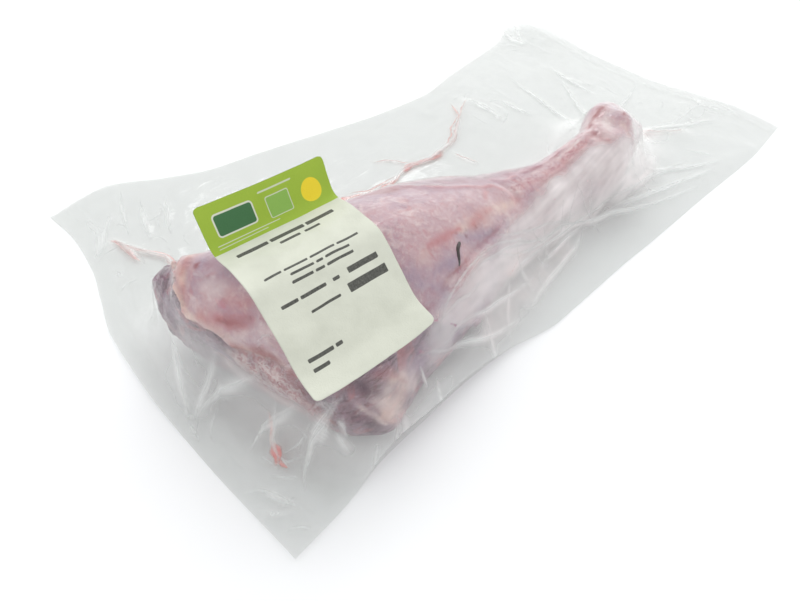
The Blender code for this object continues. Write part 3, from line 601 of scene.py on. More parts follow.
def noise(points, scale, seed):
    """Smooth noise from about -1 to 1 whose lumps are about scale millimetres across."""
    p = points / scale
    cell = np.floor(p).astype(np.int64)
    part = p - cell
    part = part**3 * (part * (part * 6 - 15) + 10)
    total = 0
    for corner in range(8):
        i, j, k = corner & 1, corner >> 1 & 1, corner >> 2 & 1
        weight = np.where(i, part[..., 0], 1 - part[..., 0]) * np.where(j, part[..., 1], 1 - part[..., 1])
        weight = weight * np.where(k, part[..., 2], 1 - part[..., 2])
        total = total + weight * hashed(cell[..., 0] + i, cell[..., 1] + j, cell[..., 2] + k, seed)
    return total


def layered(points, scale, seed, layers=3):
    """Noise with finer and weaker layers added."""
    total = 0
    for k in range(layers):
        total = total + noise(points, scale / 2**k, seed + k) / 2**k
    return total / 1.6


def ridged(points, scale, seed, layers=3):
    """Noise folded into sharp ridges, from 0 in the hollows to 1 on the ridges."""
    total = 0
    for k in range(layers):
        total = total + (1 - np.abs(noise(points, scale / 2**k, seed + k)) * 2).clip(0, 1) ** 2 / 2**k
    return total / 1.75


def flat_points(x, y):
    """Points at no height, for noise over the flat bag."""
    return np.stack([x, y, np.zeros_like(x)], -1)


def bell(away):
    """1 where away is 0, falling softly to nothing on either side."""
    return np.exp(-(away**2))


def spot(x, y, middle_x, middle_y, reach):
    """1 in the middle of a round spot, falling softly over its reach."""
    return np.exp(-((x - middle_x) ** 2 + (y - middle_y) ** 2) / reach**2)


def rippled(points, size, seed, height):
    """Layered noise of a set size and height."""
    return height * layered(points, size, seed)


def line_field(points, line):
    """Each point's distance to a line of points, and how far along the line it is nearest to, 0 to 1."""
    line = np.array(line, float)
    runs = np.linalg.norm(np.diff(line, axis=0), axis=1)
    total = runs.sum()
    best = np.full(points.shape[:-1], 1e9)
    along = np.zeros(points.shape[:-1])
    start = 0.0
    for a, b, run in zip(line[:-1], line[1:], runs):
        t = np.clip(((points - a) @ (b - a)) / run**2, 0, 1)
        away = np.linalg.norm(points - a - t[..., None] * (b - a), axis=-1)
        nearer = away < best
        best = np.where(nearer, away, best)
        along = np.where(nearer, (start + t * run) / total, along)
        start += run
    return best, along


def film_outline(x, y):
    """Grid places moved so that the short edges follow the bag's drawn-in ends."""
    half = BAG_LENGTH / 2
    x = x + (smooth(LEFT_EDGE, y) + half) * np.exp(-(x + half) / END_REACH)
    return x + (smooth(RIGHT_EDGE, y) - half) * np.exp(-(half - x) / END_REACH)


def film_places(columns, rows):
    """Places of a sheet's mesh points: columns along the bag, rows that follow the drumstick."""
    near_rows, leg_rows, far_rows = rows
    across = stretches(-BAG_LENGTH / 2, columns)
    held = np.clip(across, *LEG_ROWS_HELD)
    leg_near = smooth(column(SECTIONS, 1), held) - LEG_MARGIN
    leg_far = smooth(column(SECTIONS, 3), held) + LEG_MARGIN
    edge_near = smooth(NEAR_EDGE, across)
    edge_far = smooth(FAR_EDGE, across)
    leg_near = np.maximum(leg_near, edge_near + NARROWEST_MARGIN)
    x = np.repeat(across[:, None], near_rows + leg_rows + far_rows + 1, 1)
    y = np.zeros_like(x)
    even = np.arange(1, leg_rows) / leg_rows
    swing = (1 - np.cos(np.pi * even)) / 4 + even / 2
    outward = (np.arange(far_rows + 1) / far_rows) ** FAR_ROWS_SPREAD
    for i in range(len(across)):
        outer = np.linspace(edge_near[i], leg_near[i], near_rows + 1)
        middle = leg_near[i] + (leg_far[i] - leg_near[i]) * swing
        beyond = leg_far[i] + (edge_far[i] - leg_far[i]) * outward
        y[i] = np.concatenate([outer, middle, beyond])
    return film_outline(x, y), y


def drawing_shift():
    """What to add to the drawing's millimetres to reach the frame's, from the bag's own box."""
    low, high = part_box("bag")
    x, y = film_places(UNDER_COLUMNS, UNDER_ROWS)
    middle = np.array([x.min() + x.max(), y.min() + y.max()]) / 2
    return np.array([(low.x + high.x) / 2 / MM - middle[0], (low.y + high.y) / 2 / MM - middle[1], 0.0])


SHIFT = drawing_shift()


def to_frame(points):
    """Points of the drawing in millimetres as places in the frame in metres."""
    return (np.asarray(points, float) + SHIFT) * MM


def grid_faces(columns, rows, wrap=False, start=0, turned_over=False):
    """Quads of a grid whose points are listed column by column. wrap joins the last row to the first."""
    across = rows if wrap else rows - 1
    i, j = np.meshgrid(np.arange(columns - 1), np.arange(across), indexing="ij")
    after = (j + 1) % rows
    faces = np.stack([i * rows + j, (i + 1) * rows + j, (i + 1) * rows + after, i * rows + after], -1)
    faces = faces.reshape(-1, 4) + start
    return (faces[:, ::-1] if turned_over else faces).tolist()


def new_piece(name, points, faces, material, replaces=()):
    """A mesh piece of the part from points in the drawing, which rides with the part's one body."""
    mesh = bpy.data.meshes.new(name)
    mesh.from_pydata(to_frame(points).tolist(), [], faces)
    mesh.validate()
    mesh.shade_smooth()
    mesh.materials.append(material)
    piece = bpy.data.objects.new(name, mesh)
    bpy.context.scene.collection.objects.link(piece)
    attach(piece, "root")
    if replaces:
        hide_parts(*replaces)
    return piece


def mesh_numbers(mesh, kind, size):
    """The mesh points' places (co) or normals (normal) as an array."""
    values = np.zeros(len(mesh.vertices) * size, np.float32)
    mesh.vertices.foreach_get(kind, values)
    return values.reshape(-1, size).astype(float)


def keep(piece, **numbers):
    """Keeps numbers for the mesh points under their names, which a material reads."""
    count = len(piece.data.vertices)
    for name, values in numbers.items():
        attribute = piece.data.attributes.new(name, "FLOAT", "POINT")
        spread = np.broadcast_to(np.asarray(values, np.float32).ravel(), count)
        attribute.data.foreach_set("value", np.ascontiguousarray(spread))


def find_piece(name):
    """The piece of that name, which has to be there already."""
    piece = bpy.data.objects.get(name)
    if piece is None:
        raise RuntimeError(f"make the {name} first")
    return piece


def surface_of(name):
    """The named piece's surface, ready to be searched."""
    mesh = find_piece(name).data
    return BVHTree.FromPolygons([v.co for v in mesh.vertices], [p.vertices for p in mesh.polygons])


def heights_of(tree, x, y, default):
    """A surface's height under each (x, y) of the drawing, in millimetres, or default where it isn't."""
    down = Vector((0, 0, -1))
    places = to_frame(np.stack([x.ravel(), y.ravel(), np.full(x.size, ABOVE_ALL)], -1))
    found = np.array(default, float) * np.ones(x.size)
    for index, place in enumerate(places):
        hit = tree.ray_cast(Vector(place), down)[0]
        if hit is not None:
            found[index] = hit.z / MM
    return found.reshape(x.shape)


class Number:
    """A number that runs through a material, so that maths on it reads as a plain expression."""

    def __init__(self, paint, socket):
        self.paint = paint
        self.socket = socket

    def maths(self, operation, first, second):
        """One sum of two numbers."""
        return self.paint.number("ShaderNodeMath", {"operation": operation}, {0: first, 1: second})

    def __add__(self, other):
        return self.maths("ADD", self, other)

    __radd__ = __add__

    def __sub__(self, other):
        return self.maths("SUBTRACT", self, other)

    def __rsub__(self, other):
        return self.maths("SUBTRACT", other, self)

    def __mul__(self, other):
        return self.maths("MULTIPLY", self, other)

    __rmul__ = __mul__

    def __pow__(self, other):
        return self.maths("POWER", self, other)

    def apart(self, level):
        """How far the number is from a level, either way."""
        return self.maths("ABSOLUTE", self - level, 0.0)

    def clipped(self):
        """The number held between 0 and 1."""
        return self.paint.number("ShaderNodeMath", {"operation": "ADD", "use_clamp": True}, {0: self, 1: 0.0})

    def turned(self, low, high):
        """0 below low, 1 above high, and a smooth turn between them."""
        inputs = {"Value": self, "From Min": low, "From Max": high}
        return self.paint.number("ShaderNodeMapRange", {"interpolation_type": "SMOOTHSTEP"}, inputs)


class Paint:
    """One node tree being built. node adds any node: settings first, then its inputs."""

    def __init__(self, tree):
        self.tree = tree
        tree.nodes.clear()

    def node(self, kind, settings=None, inputs=None):
        """A new node with its settings made and its inputs fed."""
        made = self.tree.nodes.new(kind)
        for name, value in (settings or {}).items():
            setattr(made, name, value)
        for name, value in (inputs or {}).items():
            self.feed(made.inputs[name], value)
        return made

    def feed(self, socket, value):
        """Links a number or a socket to the input, or sets a plain value there."""
        if isinstance(value, Number):
            value = value.socket
        if isinstance(value, bpy.types.NodeSocket):
            self.tree.links.new(value, socket)
        elif socket.type == "RGBA":
            socket.default_value = (*value[:3], 1.0)
        else:
            socket.default_value = value

    def number(self, kind, settings=None, inputs=None, output=0):
        """A new node's output as a Number."""
        return Number(self, self.node(kind, settings, inputs).outputs[output])

    def read(self, name):
        """A number kept on the mesh under that name."""
        return self.number("ShaderNodeAttribute", {"attribute_name": name}, output="Fac")

    def place(self, stretch=(1, 1, 1)):
        """The point on the piece in metres, squeezed along each axis."""
        where = self.node("ShaderNodeTexCoord").outputs["Object"]
        return self.node("ShaderNodeVectorMath", {"operation": "MULTIPLY"}, {0: where, 1: stretch}).outputs[0]

    def cloud(self, where, scale, detail=3.0, roughness=0.5, distortion=0.0):
        """Cloudy noise, mostly from 0.3 to 0.7."""
        inputs = {"Vector": where, "Scale": scale, "Detail": detail, "Roughness": roughness,
                  "Distortion": distortion}
        return self.number("ShaderNodeTexNoise", None, inputs)

    def mix(self, amount, first, second):
        """The first colour, turned into the second by amount."""
        node = self.node("ShaderNodeMix", {"data_type": "RGBA"}, {0: amount, 6: first, 7: second})
        return node.outputs[2]

    def bump(self, height, distance, strength=1.0):
        """Surface relief from a height."""
        inputs = {"Height": height, "Distance": distance, "Strength": strength}
        return self.node("ShaderNodeBump", None, inputs).outputs["Normal"]

    def blend(self, amount, first, second):
        """The first shader, turned into the second by amount."""
        return self.node("ShaderNodeMixShader", None, {0: amount, 1: first, 2: second}).outputs[0]

    def clear(self, tint):
        """Light passed straight through, coloured by the tint."""
        return self.node("ShaderNodeBsdfTransparent", None, {"Color": tint}).outputs[0]

    def solid(self, inputs):
        """A solid surface."""
        return self.node("ShaderNodeBsdfPrincipled", None, inputs).outputs[0]

    def finish(self, shader, kind="ShaderNodeOutputMaterial"):
        """Sends the shader to the tree's output."""
        self.node(kind, None, {"Surface": shader})


def new_paint(name):
    """A new material and the Paint that fills it."""
    material = bpy.data.materials.new(name)
    material.use_nodes = True
    return material, Paint(material.node_tree)


def flesh_material(look):
    """Raw poultry: skin, cut muscle, fat and blood marks, wet and slightly see-through."""
    material, paint = new_paint("raw_poultry")
    where = paint.place()
    broad = paint.cloud(where, 40.0, 3.0, 0.55, 0.3)
    blotch = paint.cloud(where, 125.0, 4.0, 0.62, 0.8)
    patch = paint.cloud(where, 78.0, 4.0, 0.6, 1.4)
    fine = paint.cloud(where, 520.0, 3.0, 0.6)
    strand = paint.cloud(paint.place((0.55, 1.0, 1.0)), 430.0, 4.0, 0.7, 1.1)
    grain = paint.cloud(paint.place((0.2, 1.0, 1.0)), 380.0, 4.0, 0.62, 0.6)
    veins = 1 - patch.apart(0.47).turned(0.0, 0.022)
    skin = paint.mix(broad.turned(0.38, 0.62), look.skin, look.skin_deep)
    skin = paint.mix(blotch.turned(0.5, 0.72) * 0.65, skin, look.skin_pale)
    skin = paint.mix(patch.turned(0.55, 0.72) * 0.5, skin, look.rosy)
    skin = paint.mix(veins * 0.32, skin, look.rosy)
    skin = paint.mix(fine.turned(0.5, 0.74) * 0.4, skin, look.skin_pale)
    skin = paint.mix((1 - fine.turned(0.3, 0.48)) * 0.2, skin, look.rosy)
    muscle = paint.mix(grain.turned(0.35, 0.65), look.muscle, look.muscle_deep)
    muscle = paint.mix(blotch.turned(0.5, 0.72) * 0.7, muscle, look.muscle_pale)
    muscle = paint.mix(grain.apart(0.52).turned(0.08, 0.0) * 0.35, muscle, look.muscle_pale)
    muscle = paint.mix(patch.turned(0.52, 0.66) * 0.55, muscle, look.rosy)
    # Painted highlight: sparse pale flecks along the muscle's grain stand in for wet glints
    muscle = paint.mix(strand.turned(0.60, 0.68) * 0.55, muscle, look.skin_pale)
    bare = paint.read("muscle")
    colour = paint.mix(bare, skin, muscle)
    streaky = paint.mix(strand.turned(0.34, 0.46), look.blood, look.rosy)
    streaky = paint.mix(strand.turned(0.43, 0.55), streaky, look.skin_pale)
    colour = paint.mix(paint.read("strands").clipped(), colour, streaky)
    marks = {"lilac": (look.lilac, 0.6 + blotch * 0.5), "dark": (look.muscle_deep, 0.5 + blotch),
             "pale": (look.skin_pale, 0.4 + grain * 0.9), "fat": (look.fat, 0.5 + blotch * 0.8),
             "rosy": (look.rosy, 0.35 + fine * 0.6 + blotch * 0.4),
             "blood": (look.blood, 0.3 + fine * 0.7 + blotch * 0.4)}
    for name, (tint, strength) in marks.items():
        colour = paint.mix((paint.read(name) * strength).clipped(), colour, tint)
    relief = blotch * 0.5 + fine * 0.3 + grain * bare * 0.9
    pores = paint.number("ShaderNodeTexVoronoi", {"feature": "F1"}, {"Vector": where, "Scale": 210.0})
    relief = relief + (1 - pores.turned(0.0, 0.32)) * (1 - bare) * 0.3
    bump = paint.bump(relief, 0.0013)
    inputs = {"Base Color": colour, "Roughness": 0.32 + fine * 0.16, "IOR": 1.4,
              "Subsurface Weight": look.see_through, "Subsurface Radius": (0.0024, 0.0011, 0.0009),
              "Subsurface Scale": 1.0, "Normal": bump}
    paint.finish(paint.solid(inputs))
    return material


def stub_material(look):
    """Dark horn with paler streaks."""
    material, paint = new_paint("feather_stub")
    streak = paint.cloud(paint.place((1.0, 0.3, 1.0)), 1400.0, 2.0)
    colour = paint.mix(streak, look.stub, look.stub_pale)
    paint.finish(paint.solid({"Base Color": colour, "Roughness": 0.32 + streak * 0.2,
                              "Normal": paint.bump(streak, 0.0002)}))
    return material


def film_shader(paint, tint, near_shade_tint, look):
    """Clear film: light passes through its tint, haze scatters some, and its surface is glossy; where the
    mesh's shade number says so, the tint deepens to a darker one, which is painted shade.
    """
    inputs = {"Vector": paint.place(), "Scale": 55.0, "Detail": 3.0, "Roughness": 0.45, "Distortion": 0.5}
    wrinkle = paint.number("ShaderNodeTexNoise", {"noise_type": "RIDGED_MULTIFRACTAL"}, inputs)
    lines = paint.cloud(paint.place((0.12, 1.0, 0.6)), 260.0, 2.0, 0.5, 0.3)
    ripple = wrinkle * 0.35 * paint.read("slack") + lines * 0.35
    bump = paint.bump(ripple, 0.0007, 0.8)
    haze = (paint.read("haze") + (wrinkle - 0.9) * 0.04 * paint.read("slack")).clipped()
    haze_colour = paint.mix(paint.read("milk").clipped(), look.haze_colour, look.milk_colour)
    clear = paint.blend(paint.read("shade").clipped(), paint.clear(tint), paint.clear(near_shade_tint))
    cloudy = paint.solid({"Base Color": haze_colour, "Roughness": 0.6, "Specular IOR Level": 0.0,
                          "Normal": bump})
    body = paint.blend(haze, clear, cloudy)
    facing = paint.number("ShaderNodeLayerWeight", None, {"Blend": 0.5, "Normal": bump}, "Facing")
    shine = (look.shine + (1 - look.shine) * facing**5).clipped()
    gloss = paint.node("ShaderNodeBsdfGlossy", None,
                       {"Color": WHITE, "Roughness": look.gloss_roughness, "Normal": bump}).outputs[0]
    return paint.blend(shine, body, gloss)


def film_material(name, tint, near_shade_tint, look):
    """Clear film whose tint deepens to a darker tint where the mesh says so, which is painted shade."""
    material, paint = new_paint(name)
    paint.finish(film_shader(paint, tint, near_shade_tint, look))
    return material


def fold_material(look):
    """Film that stands up in a fold and fades into the film around it at the fold's foot."""
    material, paint = new_paint("folded_film")
    fold = film_shader(paint, look.film_tint, look.film_tint, look)
    paint.finish(paint.blend(paint.read("presence").clipped(), paint.clear(WHITE), fold))
    return material


def juice_material(look):
    """Meat juice: a wet stain, thin at its edges, redder where it has gathered."""
    material, paint = new_paint("meat_juice")
    cloud = paint.cloud(paint.place(), 330.0, 3.0, 0.6)
    red = paint.read("redness")
    depth = paint.read("depth")
    colour = paint.mix((red * (0.4 + cloud)).clipped(), look.thin_juice, look.thick_juice)
    body = paint.solid({"Base Color": colour, "Roughness": 0.35, "Normal": paint.bump(cloud, 0.0005)})
    amount = depth * (0.55 + red * 0.6) * (0.5 + cloud * 1.2)
    paint.finish(paint.blend(amount.clipped(), paint.clear(WHITE), body))
    return material


def paper_material(look):
    """Label paper with its print: a coloured band with plain marks on it, and rows of grey bars."""
    material, paint = new_paint("label_paper")
    where = paint.place()
    cloud = paint.cloud(where, 90.0, 3.0)
    fibre = paint.cloud(where, 1500.0, 3.0, 0.6)
    crisp = (-0.07, 0.07)
    paper = paint.mix(cloud.turned(0.35, 0.7), look.paper, look.paper_shade)
    colour = paint.mix(paint.read("bars").turned(*crisp) * (0.78 + fibre * 0.3), paper, look.ink)
    band = paint.mix(cloud, look.band, look.band_deep)
    for name, edge, amount, tint in (("rules", crisp, 0.8, look.paper), ("badge", crisp, 1.0, look.paper),
                                     ("badge", (0.55, 0.7), 1.0, look.badge),
                                     ("frame_mark", crisp, 0.75, look.paper),
                                     ("frame_mark", (0.3, 0.45), 1.0, look.band_light),
                                     ("disc", crisp, 1.0, look.disc)):
        band = paint.mix(paint.read(name).turned(*edge) * amount, band, tint)
    colour = paint.mix(paint.read("band").turned(*crisp), colour, band)
    bump = paint.bump(fibre * 0.5 + cloud, 0.00025)
    paint.finish(paint.solid({"Base Color": colour, "Roughness": 0.5 + fibre * 0.15,
                              "Specular IOR Level": 0.35, "Normal": bump}))
    return material


def floor_material(look):
    """Plain, nearly matt floor."""
    material, paint = new_paint("pale_floor")
    paint.finish(paint.solid({"Base Color": look.floor, "Roughness": 0.7, "Specular IOR Level": 0.2}))
    return material


def section_rings(x):
    """The drumstick's outline at each x as rings of even steps, listed from its far widest line."""
    near, ridge, far, top, low = (smooth(column(SECTIONS, i), x)[:, None] for i in range(1, 6))
    share, roundness = (smooth(column(NEAR_FLANK, i), x)[:, None] for i in (1, 2))
    angle = np.linspace(0, 2 * np.pi, OUTLINE_STEPS + 1)[None, :]
    across, up = np.cos(angle), np.sin(angle)
    on_far = across >= 0
    power = np.where(up >= 0, np.where(on_far, FAR_ROUNDNESS, roundness), UNDERSIDE_ROUNDNESS)
    t = np.abs(across) ** (2 / power)
    h = np.abs(up) ** (2 / power)
    y = ridge + np.where(on_far, far - ridge, near - ridge) * t
    widest = low + (top - low) * np.where(on_far, FAR_WIDEST, share)
    z = np.where(up >= 0, widest + (top - widest) * h, widest - (widest - low + FLATTENED) * h)
    z = np.maximum(z, MEAT_FLOOR)
    rings = np.zeros((len(x), MEAT_ROUND, 3))
    for i in range(len(x)):
        run = np.concatenate([[0], np.cumsum(np.hypot(np.diff(y[i]), np.diff(z[i])))])
        even = np.linspace(0, run[-1], MEAT_ROUND + 1)[:-1]
        rings[i, :, 0] = x[i]
        rings[i, :, 1] = np.interp(even, run, y[i])
        rings[i, :, 2] = np.interp(even, run, z[i])
    return rings


def capped(rings):
    """The rings with smaller ones added at both ends, so that the ends close in a soft curve."""
    turn = np.arange(1, CAP_RINGS) / CAP_RINGS
    for at, sign in ((0, -1), (-1, 1)):
        centre = rings[at].mean(0)
        extra = []
        for part in turn:
            ring = centre + (rings[at] - centre) * math.sqrt(1 - part**2)
            ring[:, 0] += sign * CAP_DEPTH * part
            extra.append(ring)
        rings = np.concatenate([extra[::-1], rings]) if at == 0 else np.concatenate([rings, extra])
    return rings


def skin_cover(points):
    """1 where skin covers the drumstick and 0 where the cut muscle shows, and the height above the edge."""
    bearing = np.degrees(np.arctan2(points[:, 1] - BEARING_CENTRE[1], points[:, 0] - BEARING_CENTRE[0])) % 360
    ahead = bearing < SKIN_EDGE[0][0]
    edge = smooth(SKIN_EDGE, np.where(ahead, 360, bearing))
    ragged = sum(rippled(points, *tears) for tears in TORN_EDGE)
    above = points[:, 2] - edge + ragged
    above = np.where(ahead, WELL_COVERED, above)
    return step_between(above, -EDGE_SOFTNESS, EDGE_SOFTNESS), above


def meat_marks(points):
    """How strong each kind of mark is at each point of the meat, by its name in MARKS."""
    drift = np.stack([layered(points, WANDER_SIZE, seed) for seed in WANDER_SEEDS], -1) * MARK_WANDER
    warped = points + drift
    patchy = MARK_LEVEL + rippled(points, *MARK_PATCHES)
    kept = {kind: 0 for kind, _, _, _ in MARKS}
    for kind, line, width, strength in MARKS:
        wobble = warped if width > FINEST_MARK else points + drift * FINE_WANDER
        away, along = line_field(wobble, line)
        taper = 0.55 + 0.45 * np.sin(np.pi * np.clip(along, 0.04, 0.96))
        mark = strength * bell(away / width / taper)
        kept[kind] = np.maximum(kept[kind], mark * patchy)
    return kept


def sculpt(points, covered, above):
    """How far each point of the meat stands out from the smooth form, in millimetres."""
    rise = rippled(points, *BROAD_SWELL) + rippled(points, *SKIN_PUCKERS) * covered
    torn = -SKIN_THICKNESS + rippled(points * ALONG_STRANDS, *CUT_STRANDS) + rippled(points, *CUT_LUMPS)
    rise = rise + (1 - covered) * torn
    rise = rise + RIM_RISE * bell((above - RIM_AT) / RIM_WIDTH)
    sinews = rippled(points * ALONG_SINEWS, *SINEWS) + rippled(points, *FINE_SINEWS)
    rise = rise + step_between(points[:, 0], *SHANK_FROM) * sinews
    for line, width, height in GROOVES:
        rise = rise + height * bell(line_field(points, line)[0] / width)
    for place, reach, height in LUMPS:
        away = np.linalg.norm(points - np.array(place), axis=1)
        rise = rise + height * bell(away / reach)
    return rise


def make_drumstick(look):
    """The raw drumstick: closed rings along the leg, pushed out into their lumps, grooves and torn skin."""
    rings = capped(section_rings(stretches(SECTIONS[0][0], MEAT_COLUMNS)))
    count, around = rings.shape[:2]
    ends = np.stack([rings[0].mean(0), rings[-1].mean(0)])
    ends[0, 0] -= CAP_DEPTH * CAP_TIP
    ends[1, 0] += CAP_DEPTH * CAP_TIP
    points = np.concatenate([rings.reshape(-1, 3), ends])
    faces = grid_faces(count, around, wrap=True)
    first, last = len(points) - 2, len(points) - 1
    for j in range(around):
        after = (j + 1) % around
        faces.append([first, j, after])
        faces.append([last, (count - 1) * around + after, (count - 1) * around + j])
    piece = new_piece("drumstick", points, faces, flesh_material(look))
    mesh = piece.data
    normals = mesh_numbers(mesh, "normal", 3)
    if normals[np.argmax(points[:, 2]), 2] < 0:
        mesh.flip_normals()
        normals = -normals
    covered, above = skin_cover(points)
    moved = points + normals * sculpt(points, covered, above)[:, None]
    moved[:, 2] = np.maximum(moved[:, 2], MEAT_FLOOR)
    mesh.vertices.foreach_set("co", to_frame(moved).astype(np.float32).ravel())
    mesh.update()
    marks = meat_marks(points)
    rim = bell((above - FAT_AT) / FAT_WIDTH) * step_between(-points[:, 0], *FAT_RIM_FROM)
    marks["fat"] = np.maximum(marks["fat"], rim * (FAT_STRENGTH + rippled(points, *FAT_PATCHES)))
    keep(piece, muscle=1 - covered, **{kind: values.clip(0, 1) for kind, values in marks.items()})


def tube(line, sides):
    """Points and faces of a closed tube along (place, radius) pairs."""
    places = np.array([p for p, _ in line], float)
    ways = np.gradient(places, axis=0)
    points = []
    for place, way, (_, radius) in zip(places, ways, line):
        way = way / np.linalg.norm(way)
        side = np.cross(way, (0, 0, 1))
        side = side / np.linalg.norm(side)
        upward = np.cross(side, way)
        for turn in np.arange(sides) * 2 * np.pi / sides:
            points.append(place + radius * (math.cos(turn) * side + math.sin(turn) * upward))
    faces = grid_faces(len(line), sides, wrap=True)
    faces.append(list(range(sides)))
    faces.append([(len(line) - 1) * sides + k for k in range(sides)][::-1])
    return points, faces


def make_stub(look):
    """The quill stub of a feather left in the skin."""
    points, faces = tube(STUB, STUB_SIDES)
    points = np.array(points)
    ground = heights_of(surface_of("drumstick"), points[:, 0], points[:, 1], 0.0)
    rest = np.array([p[2] for p, _ in STUB]).repeat(STUB_SIDES)
    points[:, 2] += (ground - rest).reshape(-1, STUB_SIDES).mean(1).repeat(STUB_SIDES) + STUB_LIFT
    piece = new_piece("feather_stub", points, faces, stub_material(look))
    smoothing = piece.modifiers.new("rounding", "SUBSURF")
    smoothing.levels = STUB_ROUNDING
    smoothing.render_levels = STUB_ROUNDING


def sheet_height(x, y):
    """The underside of the sheet where the films lie together: on the floor, a fin near the meat."""
    near = smooth(column(SECTIONS, 1), x)
    far = smooth(column(SECTIONS, 3), x)
    beyond = np.maximum(np.maximum(near - y, y - far), 0)
    past_end = np.maximum(np.maximum(SECTIONS[0][0] - x, x - SECTIONS[-1][0]), 0)
    away = np.hypot(beyond, past_end)
    height = FIN_HEIGHT * bell(away / FIN_REACH)
    for cx, cy, rise, reach in CORNER_CURL:
        height = height + rise * spot(x, y, cx, cy, reach)
    for line, rise in PLEATS:
        height = height + rise * bell(line_field(np.stack([x, y], -1), line)[0] / PLEAT_HALF_WIDTH)
    return height


def leg_underside(x, y):
    """The drumstick's lower height at (x, y), and True where it is inside its outline."""
    near, ridge, far, top, low = (smooth(column(SECTIONS, i), x) for i in range(1, 6))
    share = smooth(column(NEAR_FLANK, 1), x)
    on_far = y >= ridge
    t = np.clip(np.abs(y - ridge) / np.where(on_far, far - ridge, ridge - near), 0, 1)
    widest = low + (top - low) * np.where(on_far, FAR_WIDEST, share)
    down = (1 - t**UNDERSIDE_ROUNDNESS) ** (1 / UNDERSIDE_ROUNDNESS)
    inside = (y > near) & (y < far) & (x > SECTIONS[0][0]) & (x < SECTIONS[-1][0])
    return np.maximum(widest - (widest - low) * down - FLATTENED, 0), inside


def neighbours(height):
    """The mean of the four cells round each cell of a map."""
    along = np.roll(height, 1, 0) + np.roll(height, -1, 0)
    across = np.roll(height, 1, 1) + np.roll(height, -1, 1)
    return (along + across) / 4


def film_maps():
    """Height maps of the upper film, the lower film and the meat over the whole bag."""
    xs = np.arange(-BAG_LENGTH / 2 - MAP_MARGIN, BAG_LENGTH / 2 + MAP_MARGIN, CELL)
    ys = np.arange(-BAG_WIDTH / 2 - MAP_MARGIN, BAG_WIDTH / 2 + MAP_MARGIN_FAR, CELL)
    x, y = np.meshgrid(xs, ys, indexing="ij")
    meat = heights_of(surface_of("drumstick"), x, y, -1.0)
    lower, inside = leg_underside(x, y)
    under = sheet_height(x, y)
    over = under + SHEETS_APART
    meat_top = np.where(meat > 0, meat + CLEAR, over)
    beside = meat_top.copy()
    for shift in (-1, 1):
        for axis in (0, 1):
            beside = np.maximum(beside, np.roll(meat_top, shift, axis))
    meat_top = np.where(beside - meat_top > STEEP, beside - STEEP / 2, meat_top)
    meat_low = np.where(inside, lower, under)
    top = meat_top.copy()
    low = meat_low.copy()
    for _ in range(DRAPE_PASSES):
        top = np.maximum(meat_top, (1 - DRAPE_PULL) * neighbours(top) + DRAPE_PULL * over)
        low = np.minimum(meat_low, (1 - DRAPE_PULL) * neighbours(low) + DRAPE_PULL * under)
    return xs, ys, np.maximum(top, over), np.clip(low, 0, under), meat


def read_map(xs, ys, heights, x, y):
    """A height map read at (x, y), straight between its cells."""
    i = np.clip(((x - xs[0]) / CELL).astype(int), 0, len(xs) - 2)
    j = np.clip(((y - ys[0]) / CELL).astype(int), 0, len(ys) - 2)
    u = np.clip((x - xs[i]) / CELL, 0, 1)
    v = np.clip((y - ys[j]) / CELL, 0, 1)
    return (heights[i, j] * (1 - u) * (1 - v) + heights[i + 1, j] * u * (1 - v)
            + heights[i, j + 1] * (1 - u) * v + heights[i + 1, j + 1] * u * v)


def chance_pleats():
    """Small pleats that run out from the drumstick's outline, at fixed chance places."""
    draw = np.random.default_rng(PLEAT_SEED)
    pleats = []
    for _ in range(PLEAT_COUNT):
        x = draw.uniform(PLEATS_FROM, PLEATS_TO)
        on_far = draw.random() < PLEATS_ON_FAR
        side = 1 if on_far else -1
        y = smooth(column(SECTIONS, 3 if on_far else 1), x) + side * draw.uniform(*PLEAT_STARTS)
        fan = FAN_LEAN if x > FAN_TO else -FAN_LEAN if x < FAN_FROM else 0
        lean = draw.normal(0, PLEAT_LEAN) + fan
        reach = draw.uniform(*PLEAT_REACHES)
        bend = draw.normal(0, PLEAT_BEND)
        line = [(x, y), (x + reach * lean * 0.5 + bend * reach * 0.3, y + side * reach * 0.5),
                (x + reach * lean, y + side * reach)]
        pleats.append((line, draw.uniform(*PLEAT_HEIGHTS), draw.uniform(*PLEAT_WIDTHS)))
    return pleats


def crease_wander(x, y):
    """How far the creases wander from their drawn lines near (x, y)."""
    flat = flat_points(x, y)
    return np.stack([layered(flat, CREASE_WANDER_SIZE, seed, 2) for seed in (51, 57)], -1) * CREASE_WANDER


def creased(x, y):
    """The rise of the upper film's creases at (x, y), and how strongly a crease's line is whitened there, 0
    to 1: partly stress whitening, partly a painted highlight.
    """
    places = np.stack([x, y], -1) + crease_wander(x, y)
    rise = np.zeros_like(x)
    line_mark = np.zeros_like(x)
    for line, height, width in CREASES + chance_pleats():
        spread = np.array(line, float)
        reach = 5 * width + 4
        close = ((x > spread[:, 0].min() - reach) & (x < spread[:, 0].max() + reach)
                 & (y > spread[:, 1].min() - reach) & (y < spread[:, 1].max() + reach))
        away, along = line_field(places[close], line)
        taper = np.sin(np.pi * np.clip(along, 0.03, 0.97)) ** 0.6
        ridge = np.exp(-((away / (width * RIDGE_WIDTH)) ** RIDGE_POWER)) * taper
        hollow = bell(away / (width * HOLLOW_WIDTH)) * taper
        rise[close] = rise[close] + height * (RIDGE_RISE * ridge - HOLLOW_DIP * hollow)
        line_mark[close] = np.maximum(line_mark[close], ridge**LINE_POWER * min(height, 1.0))
    return rise, line_mark


